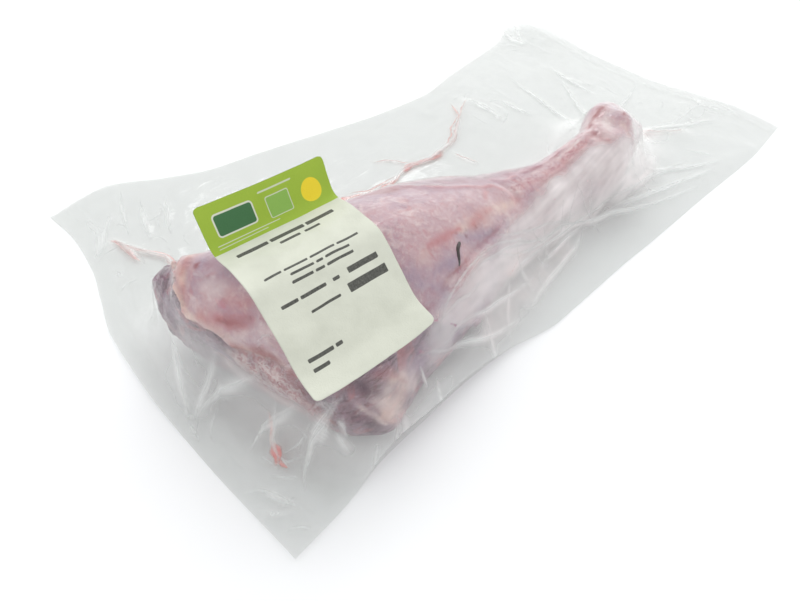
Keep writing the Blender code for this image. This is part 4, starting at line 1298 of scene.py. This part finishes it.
def crumpling(x, y):
    """The film's crumpling at (x, y) in millimetres: sharp folds in its slack zones, faint elsewhere."""
    flat = flat_points(x, y)
    zone = np.full_like(x, LEAST_CRUMPLE)
    for cx, cy, reach, strength in CRUMPLE_ZONES:
        zone = np.maximum(zone, strength * spot(x, y, cx, cy, reach))
    sideways = [layered(flat, CRUMPLE_WARP_SIZE, seed) for seed in (61, 67)]
    warped = flat + np.stack([*sideways, np.zeros_like(x)], -1) * CRUMPLE_WARP
    folds = ridged(warped, CRUMPLE_SIZE, 71)
    cx, cy, reach_x, reach_y = FINE_LINES_ZONE
    lined = np.exp(-(((x - cx) / reach_x) ** 2 + ((y - cy) / reach_y) ** 2))
    lines = noise(flat @ ALONG_BAG, FINE_LINE_SIZE, 79) * FINE_LINE_HEIGHT * lined
    return zone * folds * CRUMPLE_HEIGHT + lines, zone


def end_distance(x, y):
    """How far (x, y) is inside the nearer of the bag's short ends."""
    return np.minimum(x - smooth(LEFT_EDGE, y), smooth(RIGHT_EDGE, y) - x)


def seal_mark(x, y):
    """1 on the heat seals along the bag's two short ends."""
    return np.exp(-(((end_distance(x, y) - SEAL_AT) / SEAL_WIDTH * 2) ** 4))


def edge_distance(x, y):
    """How far (x, y) is inside the bag's edges."""
    across = np.minimum(y - smooth(NEAR_EDGE, x), smooth(FAR_EDGE, x) - y)
    return np.minimum(end_distance(x, y), across).clip(0)


def veiled(x, y, wander):
    """How milky the film is over the leg's near flank, where it hangs clear of the meat."""
    below_top = smooth(VEIL_TOP, x) - y + wander * 2.0
    below_foot = smooth(VEIL_FOOT, x) - y + wander * 3
    band = step_between(below_top, *VEIL_TOP_SOFTNESS) * (1 - step_between(below_foot, *VEIL_FOOT_SOFTNESS))
    grain = flat_points(x, y) @ VEIL_GRAIN
    streaks = 0.6 * noise(grain, 1.0, 103) + 0.4 * noise(grain, 0.4, 107)
    return band * smooth(VEIL_STRENGTH, x) * (0.95 + 0.2 * wander + 0.3 * streaks)


def eased(height, floor, passes):
    """A grid of heights smoothed a little, never below floor."""
    for _ in range(passes):
        inner = (height[:-2, 1:-1] + height[2:, 1:-1] + height[1:-1, :-2] + height[1:-1, 2:]) / 4
        soft = height.copy()
        soft[1:-1, 1:-1] = height[1:-1, 1:-1] * (1 - EASE_SHARE) + inner * EASE_SHARE
        height = np.maximum(soft, floor)
    return height


def film_haze(x, y, on_meat, zone, lines, sealed, look):
    """How hazy and how milky the upper film is at (x, y). Part of the haze is painted light: it rises towards
    the far side, lightens the leg's shadow beside its near flank, and whitens the crease lines partly as a
    painted highlight.
    """
    haze = (look.haze * (HAZE_NEAR + HAZE_GAIN_PAINTED_LIGHT * step_between(y, *HAZE_ACROSS)) + CRUMPLE_HAZE * zone
            + CREASE_HAZE_WHITENING_AND_HIGHLIGHT * lines * (1 - on_meat * HELD_FLAT) + SEAL_HAZE * sealed
            + CLOUD_HAZE * layered(flat_points(x, y), 30, 89))
    # Painted light: extra haze lightens the leg's shadow on the film beside its near flank
    off_leg = smooth(column(SECTIONS, 1), x) - y
    beside = step_between(off_leg, *BESIDE_SOFTNESS) * bell(off_leg / BESIDE_REACH)
    haze = haze + BESIDE_HAZE_PAINTED_LIGHT * beside * (1 - step_between(y, *BESIDE_ENDS))
    milk = np.zeros_like(x)
    wander = layered(flat_points(x, y), 12, 97)
    places = np.stack([x, y], -1)
    for line, reach, strength in MILK:
        away = line_field(places, line)[0]
        milk = np.maximum(milk, strength * bell(away / reach) * (0.8 + 0.5 * wander))
    veil = veiled(x, y, wander)
    haze = np.maximum(haze * (1 - CLEARED_BY_MEAT * on_meat) + MILK_HAZE * milk, veil)
    return haze, np.maximum(milk, veil * VEIL_MILK)


def make_film(look):
    """The upper film, drawn tight over the meat and creased beside it, and the lower film."""
    xs, ys, top, low, meat = film_maps()
    x, y = film_places(FILM_COLUMNS, FILM_ROWS)
    base = read_map(xs, ys, top, x, y)
    lower = read_map(xs, ys, low, x, y)
    meat_here = read_map(xs, ys, meat, x, y)
    base = eased(base, 0, FILM_EASING)
    gap = np.where(meat_here > 0, base - meat_here - CLEAR, base - lower).clip(0)
    on_meat = (meat_here > 0) * (1 - step_between(gap, *TOUCHES_MEAT))
    inward = edge_distance(x, y)
    held = step_between(inward, *HELD_BY_EDGE)
    rise, lines = creased(x, y)
    crumple, zone = crumpling(x, y)
    sealed = seal_mark(x, y)
    slope = np.hypot(np.gradient(base, axis=0) / np.gradient(x, axis=0),
                     np.gradient(base, axis=1) / np.gradient(y, axis=1))
    gentle = 1 / (1 + (slope / STEEP_FILM) ** 2)
    rise = rise * (1 - on_meat * HELD_FLAT) + crumple * (1 - on_meat * CRUMPLE_HELD)
    rise = rise * held * gentle * look.crease_height
    sway = rippled(flat_points(x, y), *FILM_SWAY) * (1 - on_meat)
    ribs = SEAL_RIB_HEIGHT * np.sin(2 * np.pi * inward / SEAL_RIBS) * sealed
    upper = np.maximum(base + rise + sway + ribs, lower + LOWEST_FILM + FILMS_APART)
    haze, milk = film_haze(x, y, on_meat, zone, lines, sealed, look)
    points = np.stack([x, y, upper], -1).reshape(-1, 3)
    over = new_piece("film_over", points, grid_faces(*x.shape),
                     film_material("clear_film", look.film_tint, look.film_tint, look), ["bag"])
    keep(over, haze=haze.clip(0, MOST_HAZE), milk=milk.clip(0, 1), slack=1 - TAUT_ON_MEAT * on_meat)
    x, y = film_places(UNDER_COLUMNS, UNDER_ROWS)
    lower = read_map(xs, ys, low, x, y).clip(0) + LOWEST_FILM
    points = np.stack([x, y, lower], -1).reshape(-1, 3)
    under = new_piece("film_under", points, grid_faces(*x.shape, turned_over=True),
                      film_material("clear_film_under", look.under_tint_and_shade, look.near_shade_tint, look), ["bag"])
    # Painted shade: the lower film's tint deepens towards the bag's near edge and its near-left end
    keep(under, shade=1 - step_between(y + 0.3 * x, *PAINTED_SHADE_SPAN), haze=look.haze * 0.6, milk=0, slack=0.3)


def fold_lines():
    """Every standing fold of the upper film: the creases, chance pleats, and short ones where it crumples."""
    draw = np.random.default_rng(FOLD_SEED)
    lines = [(line, min(1.0, 0.45 + 0.4 * height)) for line, height, _ in CREASES]
    lines += [(line, 0.25 + 0.45 * height) for line, height, _ in chance_pleats()]
    for cx, cy, reach, strength in CRUMPLE_ZONES:
        for _ in range(int(FOLDS_PER_ZONE * strength)):
            x, y = draw.normal((cx, cy), reach * 0.5)
            turn = draw.uniform(0, np.pi)
            bend = turn + draw.normal(0, SHORT_FOLD_BEND)
            half = draw.uniform(*SHORT_FOLD_HALVES)
            line = [(x - half * np.cos(turn), y - half * np.sin(turn)), (x, y),
                    (x + half * np.cos(bend), y + half * np.sin(bend))]
            lines.append((line, draw.uniform(*SHORT_FOLD_SIZES)))
    return lines


def even_line(line, spacing):
    """A smooth line through points, as even steps: its places, its directions and its run at each."""
    line = np.array(line, float)
    run = np.concatenate([[0], np.cumsum(np.linalg.norm(np.diff(line, axis=0), axis=1))])
    s = np.linspace(0, run[-1], max(6, int(run[-1] / spacing)) + 1)
    places = np.stack([smooth(list(zip(run, line[:, k])), s) for k in (0, 1)], -1)
    ways = np.gradient(places, axis=0)
    return places, ways / np.linalg.norm(ways, axis=1)[:, None], s / run[-1]


def beside_line(places, ways, shift):
    """The x and y of places moved sideways off their line."""
    return places[:, 0] - ways[:, 1] * shift, places[:, 1] + ways[:, 0] * shift


def make_folds(look):
    """Thin standing folds of film along the creases, joined into one piece."""
    film = surface_of("film_over")
    draw = np.random.default_rng(FOLD_SEED + 1)
    points, faces, presence = [], [], []
    for line, size in fold_lines():
        places, ways, share = even_line(line, FOLD_STEP)
        places = places - crease_wander(places[:, 0], places[:, 1])
        inside = edge_distance(places[:, 0], places[:, 1])
        if inside.min() < FOLD_MARGIN:
            continue
        knots = np.linspace(0, 1, FOLD_KNOTS)
        uneven = np.interp(share, knots, draw.uniform(*FOLD_UNEVENNESS, FOLD_KNOTS))
        lean = np.interp(share, knots, draw.normal(0, FOLD_LEAN, FOLD_KNOTS))
        tall = size * uneven * np.sin(np.pi * np.clip(share, 0.02, 0.98)) ** 0.7
        stoutness = 0.35 + 0.65 * size
        start = len(points)
        for across, up in FOLD_SECTION:
            width = FOLD_HALF_WIDTH * stoutness * across
            px, py = beside_line(places, ways, width + lean * up * tall * 0.6)
            pz = heights_of(film, px, py, 1.5) + up * tall * FOLD_HEIGHT * look.crease_height + FOLD_LIFT
            points.extend(np.stack([px, py, pz], -1))
            presence.extend(up * stoutness * np.sin(np.pi * share) ** 0.6)
        faces.extend(grid_faces(len(FOLD_SECTION), len(share), start=start, turned_over=True))
    piece = new_piece("film_folds", np.array(points), faces, fold_material(look))
    keep(piece, haze=look.fold_haze, milk=0, slack=0.2, presence=presence)


def make_juice(look):
    """Thin stains of meat juice under the upper film's creases, joined into one piece."""
    film = surface_of("film_over")
    draw = np.random.default_rng(JUICE_SEED)
    points, faces, redness, depth = [], [], [], []
    for line, half, red in JUICE:
        places, ways, share = even_line(line, JUICE_STEP)
        knots = np.linspace(0, 1, max(4, len(share) // 5))
        swell = np.interp(share, knots, draw.uniform(*JUICE_SWELL, len(knots)))
        drift = np.interp(share, knots, draw.normal(0, JUICE_DRIFT, len(knots)))
        width = half * swell * np.sin(np.pi * np.clip(share, 0.03, 0.97)) ** 0.5
        gathered = np.interp(share, knots, draw.uniform(*JUICE_GATHERED, len(knots)))
        gathered = gathered * np.sin(np.pi * share) ** 0.4
        start = len(points)
        for across in JUICE_SECTION:
            px, py = beside_line(places, ways, width * across + drift)
            points.extend(np.stack([px, py, heights_of(film, px, py, 2.0) - JUICE_BELOW], -1))
            depth.extend((1 - across**2) * gathered)
            redness.extend(red * gathered)
        faces.extend(grid_faces(len(JUICE_SECTION), len(share), start=start, turned_over=True))
    piece = new_piece("juice", np.array(points), faces, juice_material(look))
    keep(piece, redness=np.clip(redness, 0, 1), depth=np.clip(depth, 0, 1))


def label_rows(film, cells):
    """The label's rows from the near edge to the far end, lifted clear of the film below them."""
    profile = np.array(LABEL_PROFILE, float)
    run = np.concatenate([[0], np.cumsum(np.hypot(*np.diff(profile, axis=0).T))])
    s = np.linspace(0, run[-1], cells + 1)
    y = smooth(list(zip(run, profile[:, 0])), s)
    z = smooth(list(zip(run, profile[:, 1])), s)
    middle = LABEL_MIDDLE_NEAR + (LABEL_MIDDLE_FAR - LABEL_MIDDLE_NEAR) * s / run[-1]
    across = np.linspace(-0.5, 0.5, LABEL_FEELERS)[None, :] * LABEL_WIDTH
    x = middle[:, None] + across
    skew = -LABEL_TILT * across / LABEL_WIDTH
    top = heights_of(film, x, y[:, None] + skew, 0.0)
    z = np.maximum(z, top.max(1) + LABEL_GAP)
    for _ in range(LABEL_EASING):
        soft = z.copy()
        soft[1:-1] = (z[:-2] + z[1:-1] * 2 + z[2:]) / 4
        z = np.maximum(soft, top.max(1) + LABEL_GAP)
    return s, y, z, middle


def bar_depth(u, v, rows):
    """How far inside the nearest bar of the print each point is, negative outside."""
    best = np.full_like(u, CLEAR_OF_PRINT)
    for height, half, spans in rows:
        for start, end in spans:
            inside = np.minimum(np.minimum(u - start, end - u), half - np.abs(v - height))
            best = np.maximum(best, inside)
    return best


def plate_depth(u, v, plate):
    """How far inside a rounded plate (middle u, middle v, half width, half height, corner) each point is."""
    cu, cv, half_width, half_height, corner = plate
    du = np.abs(u - cu) - half_width + corner
    dv = np.abs(v - cv) - half_height + corner
    outside = np.hypot(np.maximum(du, 0), np.maximum(dv, 0)) + np.minimum(np.maximum(du, dv), 0)
    return corner - outside


def make_label(look):
    """The paper label: a thin curved sheet with rounded corners, buckled edges and flicked corners."""
    columns, rows = LABEL_CELLS
    s, y, z, middle = label_rows(surface_of("film_over"), rows)
    length = s[-1]
    ends = np.minimum(np.minimum(s, length - s), LABEL_CORNER)
    inset = LABEL_CORNER - np.sqrt(LABEL_CORNER**2 - (LABEL_CORNER - ends) ** 2)
    share = np.linspace(-0.5, 0.5, columns + 1)
    u = share[:, None] * (LABEL_WIDTH - 2 * inset)[None, :]
    v = np.repeat(s[None, :], columns + 1, 0)
    px = middle[None, :] + u
    py = y[None, :] - LABEL_TILT * u / LABEL_WIDTH
    edge = (np.abs(u) / (LABEL_WIDTH / 2)) ** 4
    turn = v / BUCKLE_STEP + np.where(u > 0, *BUCKLE_STARTS)
    buckle = look.buckle * edge * (0.5 + 0.5 * np.sin(2 * np.pi * turn))
    flick = sum(rise * spot(u, v, at, 0, reach) for at, reach, rise in FLICKED_CORNERS)
    rumple = RUMPLE_LIFT + rippled(flat_points(u * 0.6, v), *RUMPLE)
    soft = (PAPER_LIFT + rippled(flat_points(u, v), *PAPER_SWELL)
            + rumple * step_between(length - v, *RUMPLED_FROM))
    pz = z[None, :] + buckle + flick + soft
    upper = np.stack([px, py, pz + LABEL_PAPER], -1).reshape(-1, 3)
    lower = np.stack([px, py, pz], -1).reshape(-1, 3)
    count = len(upper)
    faces = grid_faces(columns + 1, rows + 1)
    faces += grid_faces(columns + 1, rows + 1, start=count, turned_over=True)
    index = np.arange(count).reshape(columns + 1, rows + 1)
    border = np.concatenate([index[:-1, 0], index[-1, :-1], index[:0:-1, -1], index[0, :0:-1]])
    for a, b in zip(border, np.roll(border, -1)):
        faces.append([int(a), int(a) + count, int(b) + count, int(b)])
    piece = new_piece("label_paper", np.concatenate([upper, lower]), faces,
                      paper_material(look), ["label"])
    disc_u, disc_v, disc_radius = DISC
    prints = {"bars": bar_depth(u, v, BARS), "rules": bar_depth(u, v, BAND_RULES),
              "band": v - (length - BAND_DEPTH), "badge": plate_depth(u, v, BADGE),
              "frame_mark": plate_depth(u, v, FRAME_MARK),
              "disc": disc_radius - np.hypot(u - disc_u, v - disc_v)}
    unprinted = np.full(count, CLEAR_OF_PRINT)
    keep(piece, **{name: np.concatenate([depth.ravel(), unprinted]) for name, depth in prints.items()})


def add_light(name, place, aim, size, power):
    """A soft square light at a place in metres that shines at another."""
    lamp = bpy.data.lights.new(name, "AREA")
    lamp.shape = "RECTANGLE"
    lamp.size, lamp.size_y = size
    lamp.energy = power
    light = bpy.data.objects.new(name, lamp)
    light.location = place
    light.rotation_euler = (Vector(aim) - Vector(place)).to_track_quat("-Z", "Y").to_euler()
    bpy.context.scene.collection.objects.link(light)


def make_floor(look):
    """The plain pale floor, which isn't part of the object."""
    mesh = bpy.data.meshes.new("floor")
    half = look.floor_size / 2
    corners = [(-half, -half, 0), (half, -half, 0), (half, half, 0), (-half, half, 0)]
    mesh.from_pydata(corners, [], [(0, 1, 2, 3)])
    mesh.materials.append(floor_material(look))
    floor = bpy.data.objects.new("floor", mesh)
    bpy.context.scene.collection.objects.link(floor)


def make_world(look):
    """Pale light from all round, brightest low down behind the far side of the bag."""
    world = bpy.data.worlds.new("soft_room")
    world.use_nodes = True
    paint = Paint(world.node_tree)
    direction = paint.node("ShaderNodeTexCoord").outputs["Generated"]
    height = paint.number("ShaderNodeSeparateXYZ", None, {0: direction}, 2)
    inputs = {0: direction, 1: BRIGHT_SIDE}
    facing = paint.number("ShaderNodeVectorMath", {"operation": "DOT_PRODUCT"}, inputs, "Value")
    colour = paint.mix(height.turned(0.05, 0.95), look.horizon, look.overhead)
    strength = look.room_light + look.back_light * facing.turned(-0.1, 1.0)
    paint.finish(paint.node("ShaderNodeBackground", None, {"Color": colour, "Strength": strength}).outputs[0],
                 "ShaderNodeOutputWorld")
    bpy.context.scene.world = world


def make_camera():
    """The camera at the photograph's place and angle."""
    yaw, dip, roll = (math.radians(a) for a in (CAMERA_YAW, CAMERA_DIP, CAMERA_ROLL))
    ahead = Vector((math.sin(yaw) * math.cos(dip), math.cos(yaw) * math.cos(dip), -math.sin(dip)))
    level = Vector((math.cos(yaw), -math.sin(yaw), 0))
    upright = level.cross(ahead)
    right = math.cos(roll) * level + math.sin(roll) * upright
    upward = -math.sin(roll) * level + math.cos(roll) * upright
    camera = bpy.data.objects.new("camera", bpy.data.cameras.new("camera"))
    camera.data.lens = CAMERA_LENS
    camera.data.sensor_width = CAMERA_SENSOR
    camera.data.clip_start = CAMERA_CLIP
    turn = Matrix((right, upward, -ahead)).transposed()
    camera.matrix_world = Matrix.Translation(to_frame(CAMERA_PLACE)) @ turn.to_4x4()
    bpy.context.scene.collection.objects.link(camera)
    bpy.context.scene.camera = camera


def colour_setting(name, description, default):
    """A colour in the panel."""
    return FloatVectorProperty(name=name, description=description, default=default, subtype="COLOR", size=3,
                               min=0.0, max=1.0)


def share_setting(name, description, default):
    """A share from 0 to 1 in the panel."""
    return FloatProperty(name=name, description=description, default=default, subtype="FACTOR",
                         min=0.0, max=1.0)


def scale_setting(name, description, default, most):
    """A number from 0 to most in the panel."""
    return FloatProperty(name=name, description=description, default=default, min=0.0, max=most)


class MeatLook(bpy.types.PropertyGroup):
    """Colours of the drumstick, the feather stub and the juice."""

    skin: colour_setting("Skin", "Main colour of the skin", (0.55, 0.36, 0.39))
    skin_deep: colour_setting("Deep skin", "Skin over dark meat", (0.44, 0.28, 0.34))
    skin_pale: colour_setting("Pale skin", "Skin over fat", (0.74, 0.61, 0.60))
    muscle: colour_setting("Muscle", "Cut muscle", (0.25, 0.14, 0.19))
    muscle_deep: colour_setting("Deep muscle", "Darkest muscle", (0.11, 0.05, 0.075))
    muscle_pale: colour_setting("Muscle film", "Pale skins over the muscle", (0.42, 0.30, 0.36))
    lilac: colour_setting("Lilac skin", "Thin skin over dark meat", (0.34, 0.25, 0.34))
    fat: colour_setting("Fat", "Fat and skin edges", (0.74, 0.55, 0.48))
    rosy: colour_setting("Rosy", "Reddened skin", (0.50, 0.17, 0.18))
    blood: colour_setting("Blood", "Blood in the skin", (0.28, 0.035, 0.045))
    stub: colour_setting("Feather stub", "Quill left in the skin", (0.02, 0.018, 0.018))
    stub_pale: colour_setting("Pale stub", "Streaks in the quill", (0.09, 0.07, 0.065))
    thin_juice: colour_setting("Thin juice", "Juice where it is thin", (0.84, 0.39, 0.33))
    thick_juice: colour_setting("Thick juice", "Juice where it is thick", (0.68, 0.11, 0.10))
    see_through: share_setting("See-through", "How far light spreads in the meat", 0.15)


class FilmLook(bpy.types.PropertyGroup):
    """Clearness, haze and creases of the bag's film."""

    film_tint: colour_setting("Upper film", "Light let through by the upper film", (0.955, 0.96, 0.955))
    # Lower film: darker than the upper film, partly the film's own tint and partly painted shade of the floor
    # under the bag
    under_tint_and_shade: colour_setting("Lower film", "Light let through by the lower film", (0.885, 0.89, 0.88))
    # Painted shade: the darker tint that the lower film takes on towards the bag's near edge
    near_shade_tint: colour_setting("Near film", "Light let through by the lower film's near part",
                              (0.862, 0.866, 0.86))
    haze_colour: colour_setting("Haze", "Colour of the film's haze", (0.86, 0.87, 0.86))
    milk_colour: colour_setting("Milky film", "Haze where juice lies behind", (0.90, 0.74, 0.75))
    haze: share_setting("Haze", "Share of light that smooth film scatters", 0.10)
    shine: share_setting("Shine", "Share of light reflected face on", 0.05)
    gloss_roughness: share_setting("Roughness", "Roughness of the reflections", 0.10)
    fold_haze: share_setting("Fold haze", "Share of light that a folded edge scatters", 0.38)
    crease_height: scale_setting("Creases", "Scale of the creases' height", 1.0, 2.0)


class LabelLook(bpy.types.PropertyGroup):
    """Colours of the label's paper and print."""

    paper: colour_setting("Paper", "Label paper", (0.685, 0.70, 0.60))
    paper_shade: colour_setting("Paper shade", "Label paper where damp", (0.63, 0.645, 0.55))
    ink: colour_setting("Ink", "Printed bars", (0.05, 0.05, 0.045))
    band: colour_setting("Band", "Coloured band at the far end", (0.36, 0.50, 0.05))
    band_deep: colour_setting("Deep band", "Band where it is darker", (0.31, 0.46, 0.04))
    band_light: colour_setting("Light panel", "Panel inside the framed mark", (0.26, 0.46, 0.09))
    badge: colour_setting("Badge", "Dark plate on the band", (0.05, 0.16, 0.06))
    disc: colour_setting("Disc", "Disc on the band", (0.85, 0.66, 0.03))
    buckle: scale_setting("Buckle", "Height of the waves along the edges in mm", 0.9, 4.0)


class StudioLook(bpy.types.PropertyGroup):
    """Floor and light of the studio."""

    floor: colour_setting("Floor", "Plain pale floor", (0.95, 0.955, 0.96))
    horizon: colour_setting("Horizon", "Room at eye level", (1.0, 1.0, 1.0))
    overhead: colour_setting("Overhead", "Room overhead", (0.78, 0.79, 0.80))
    room_light: scale_setting("Room light", "Strength of the room's even light", 0.99, 5.0)
    back_light: scale_setting("Back light", "How much brighter the room is at the back", 0.62, 5.0)
    lamp_power: FloatProperty(name="Lamp", description="Power of the soft lamp at the back", default=5.0,
                              min=0.0, max=500.0, unit="POWER")
    floor_size: FloatProperty(name="Floor size", description="Side of the square floor", default=12.0,
                              min=1.0, max=100.0, unit="LENGTH", subtype="DISTANCE")


class PACKEDLEG_OT_drumstick(bpy.types.Operator):
    """Make the raw drumstick, with its skin, cut end and knuckle"""

    bl_idname = "packedleg.drumstick"
    bl_label = "Drumstick"

    def execute(self, context):
        make_drumstick(context.scene.packedleg_meat)
        return {"FINISHED"}


class PACKEDLEG_OT_stub(bpy.types.Operator):
    """Make the feather stub that is left in the skin"""

    bl_idname = "packedleg.stub"
    bl_label = "Feather stub"

    def execute(self, context):
        make_stub(context.scene.packedleg_meat)
        return {"FINISHED"}


class PACKEDLEG_OT_film(bpy.types.Operator):
    """Make the bag's two sheets of film over the drumstick"""

    bl_idname = "packedleg.film"
    bl_label = "Film"

    def execute(self, context):
        make_film(context.scene.packedleg_film)
        return {"FINISHED"}


class PACKEDLEG_OT_folds(bpy.types.Operator):
    """Make the thin standing folds along the film's creases"""

    bl_idname = "packedleg.folds"
    bl_label = "Folds"

    def execute(self, context):
        make_folds(context.scene.packedleg_film)
        return {"FINISHED"}


class PACKEDLEG_OT_juice(bpy.types.Operator):
    """Make the meat juice that is caught in the film's creases"""

    bl_idname = "packedleg.juice"
    bl_label = "Juice"

    def execute(self, context):
        make_juice(context.scene.packedleg_meat)
        return {"FINISHED"}


class PACKEDLEG_OT_label(bpy.types.Operator):
    """Make the printed paper label on the film"""

    bl_idname = "packedleg.label"
    bl_label = "Label"

    def execute(self, context):
        make_label(context.scene.packedleg_label)
        return {"FINISHED"}


class PACKEDLEG_OT_studio(bpy.types.Operator):
    """Make the floor, the soft lights and the camera"""

    bl_idname = "packedleg.studio"
    bl_label = "Studio"

    def execute(self, context):
        look = context.scene.packedleg_studio
        make_floor(look)
        make_world(look)
        add_light("soft_lamp", LAMP_PLACE, LAMP_AIM, LAMP_SIZE, look.lamp_power)
        make_camera()
        context.scene.view_settings.view_transform = "Standard"
        return {"FINISHED"}


OPERATORS = (PACKEDLEG_OT_drumstick, PACKEDLEG_OT_stub, PACKEDLEG_OT_film, PACKEDLEG_OT_folds,
             PACKEDLEG_OT_juice, PACKEDLEG_OT_label, PACKEDLEG_OT_studio)
LOOKS = {"packedleg_meat": MeatLook, "packedleg_film": FilmLook, "packedleg_label": LabelLook,
         "packedleg_studio": StudioLook}


class PACKEDLEG_PT_panel(bpy.types.Panel):
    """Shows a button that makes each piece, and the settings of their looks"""

    bl_label = "Packed drumstick"
    bl_idname = "PACKEDLEG_PT_panel"
    bl_space_type = "VIEW_3D"
    bl_region_type = "UI"
    bl_category = "Packed drumstick"

    def draw(self, context):
        for operator in OPERATORS:
            self.layout.operator(operator.bl_idname)
        for name, group in LOOKS.items():
            box = self.layout.box()
            look = getattr(context.scene, name)
            for setting in group.__annotations__:
                box.prop(look, setting)


def register():
    """Adds the looks, the operators and the panel to Blender."""
    for group in LOOKS.values():
        bpy.utils.register_class(group)
    for kind in (*OPERATORS, PACKEDLEG_PT_panel):
        bpy.utils.register_class(kind)
    for name, group in LOOKS.items():
        setattr(bpy.types.Scene, name, PointerProperty(type=group))


def unregister():
    """Takes them out again."""
    for name in LOOKS:
        delattr(bpy.types.Scene, name)
    for kind in (PACKEDLEG_PT_panel, *reversed(OPERATORS), *LOOKS.values()):
        bpy.utils.unregister_class(kind)


def main():
    """Makes every piece in turn."""
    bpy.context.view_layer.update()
    register()
    bpy.ops.packedleg.drumstick()
    bpy.ops.packedleg.stub()
    bpy.ops.packedleg.film()
    bpy.ops.packedleg.folds()
    bpy.ops.packedleg.juice()
    bpy.ops.packedleg.label()
    bpy.ops.packedleg.studio()


if __name__ == "__main__":
    main()
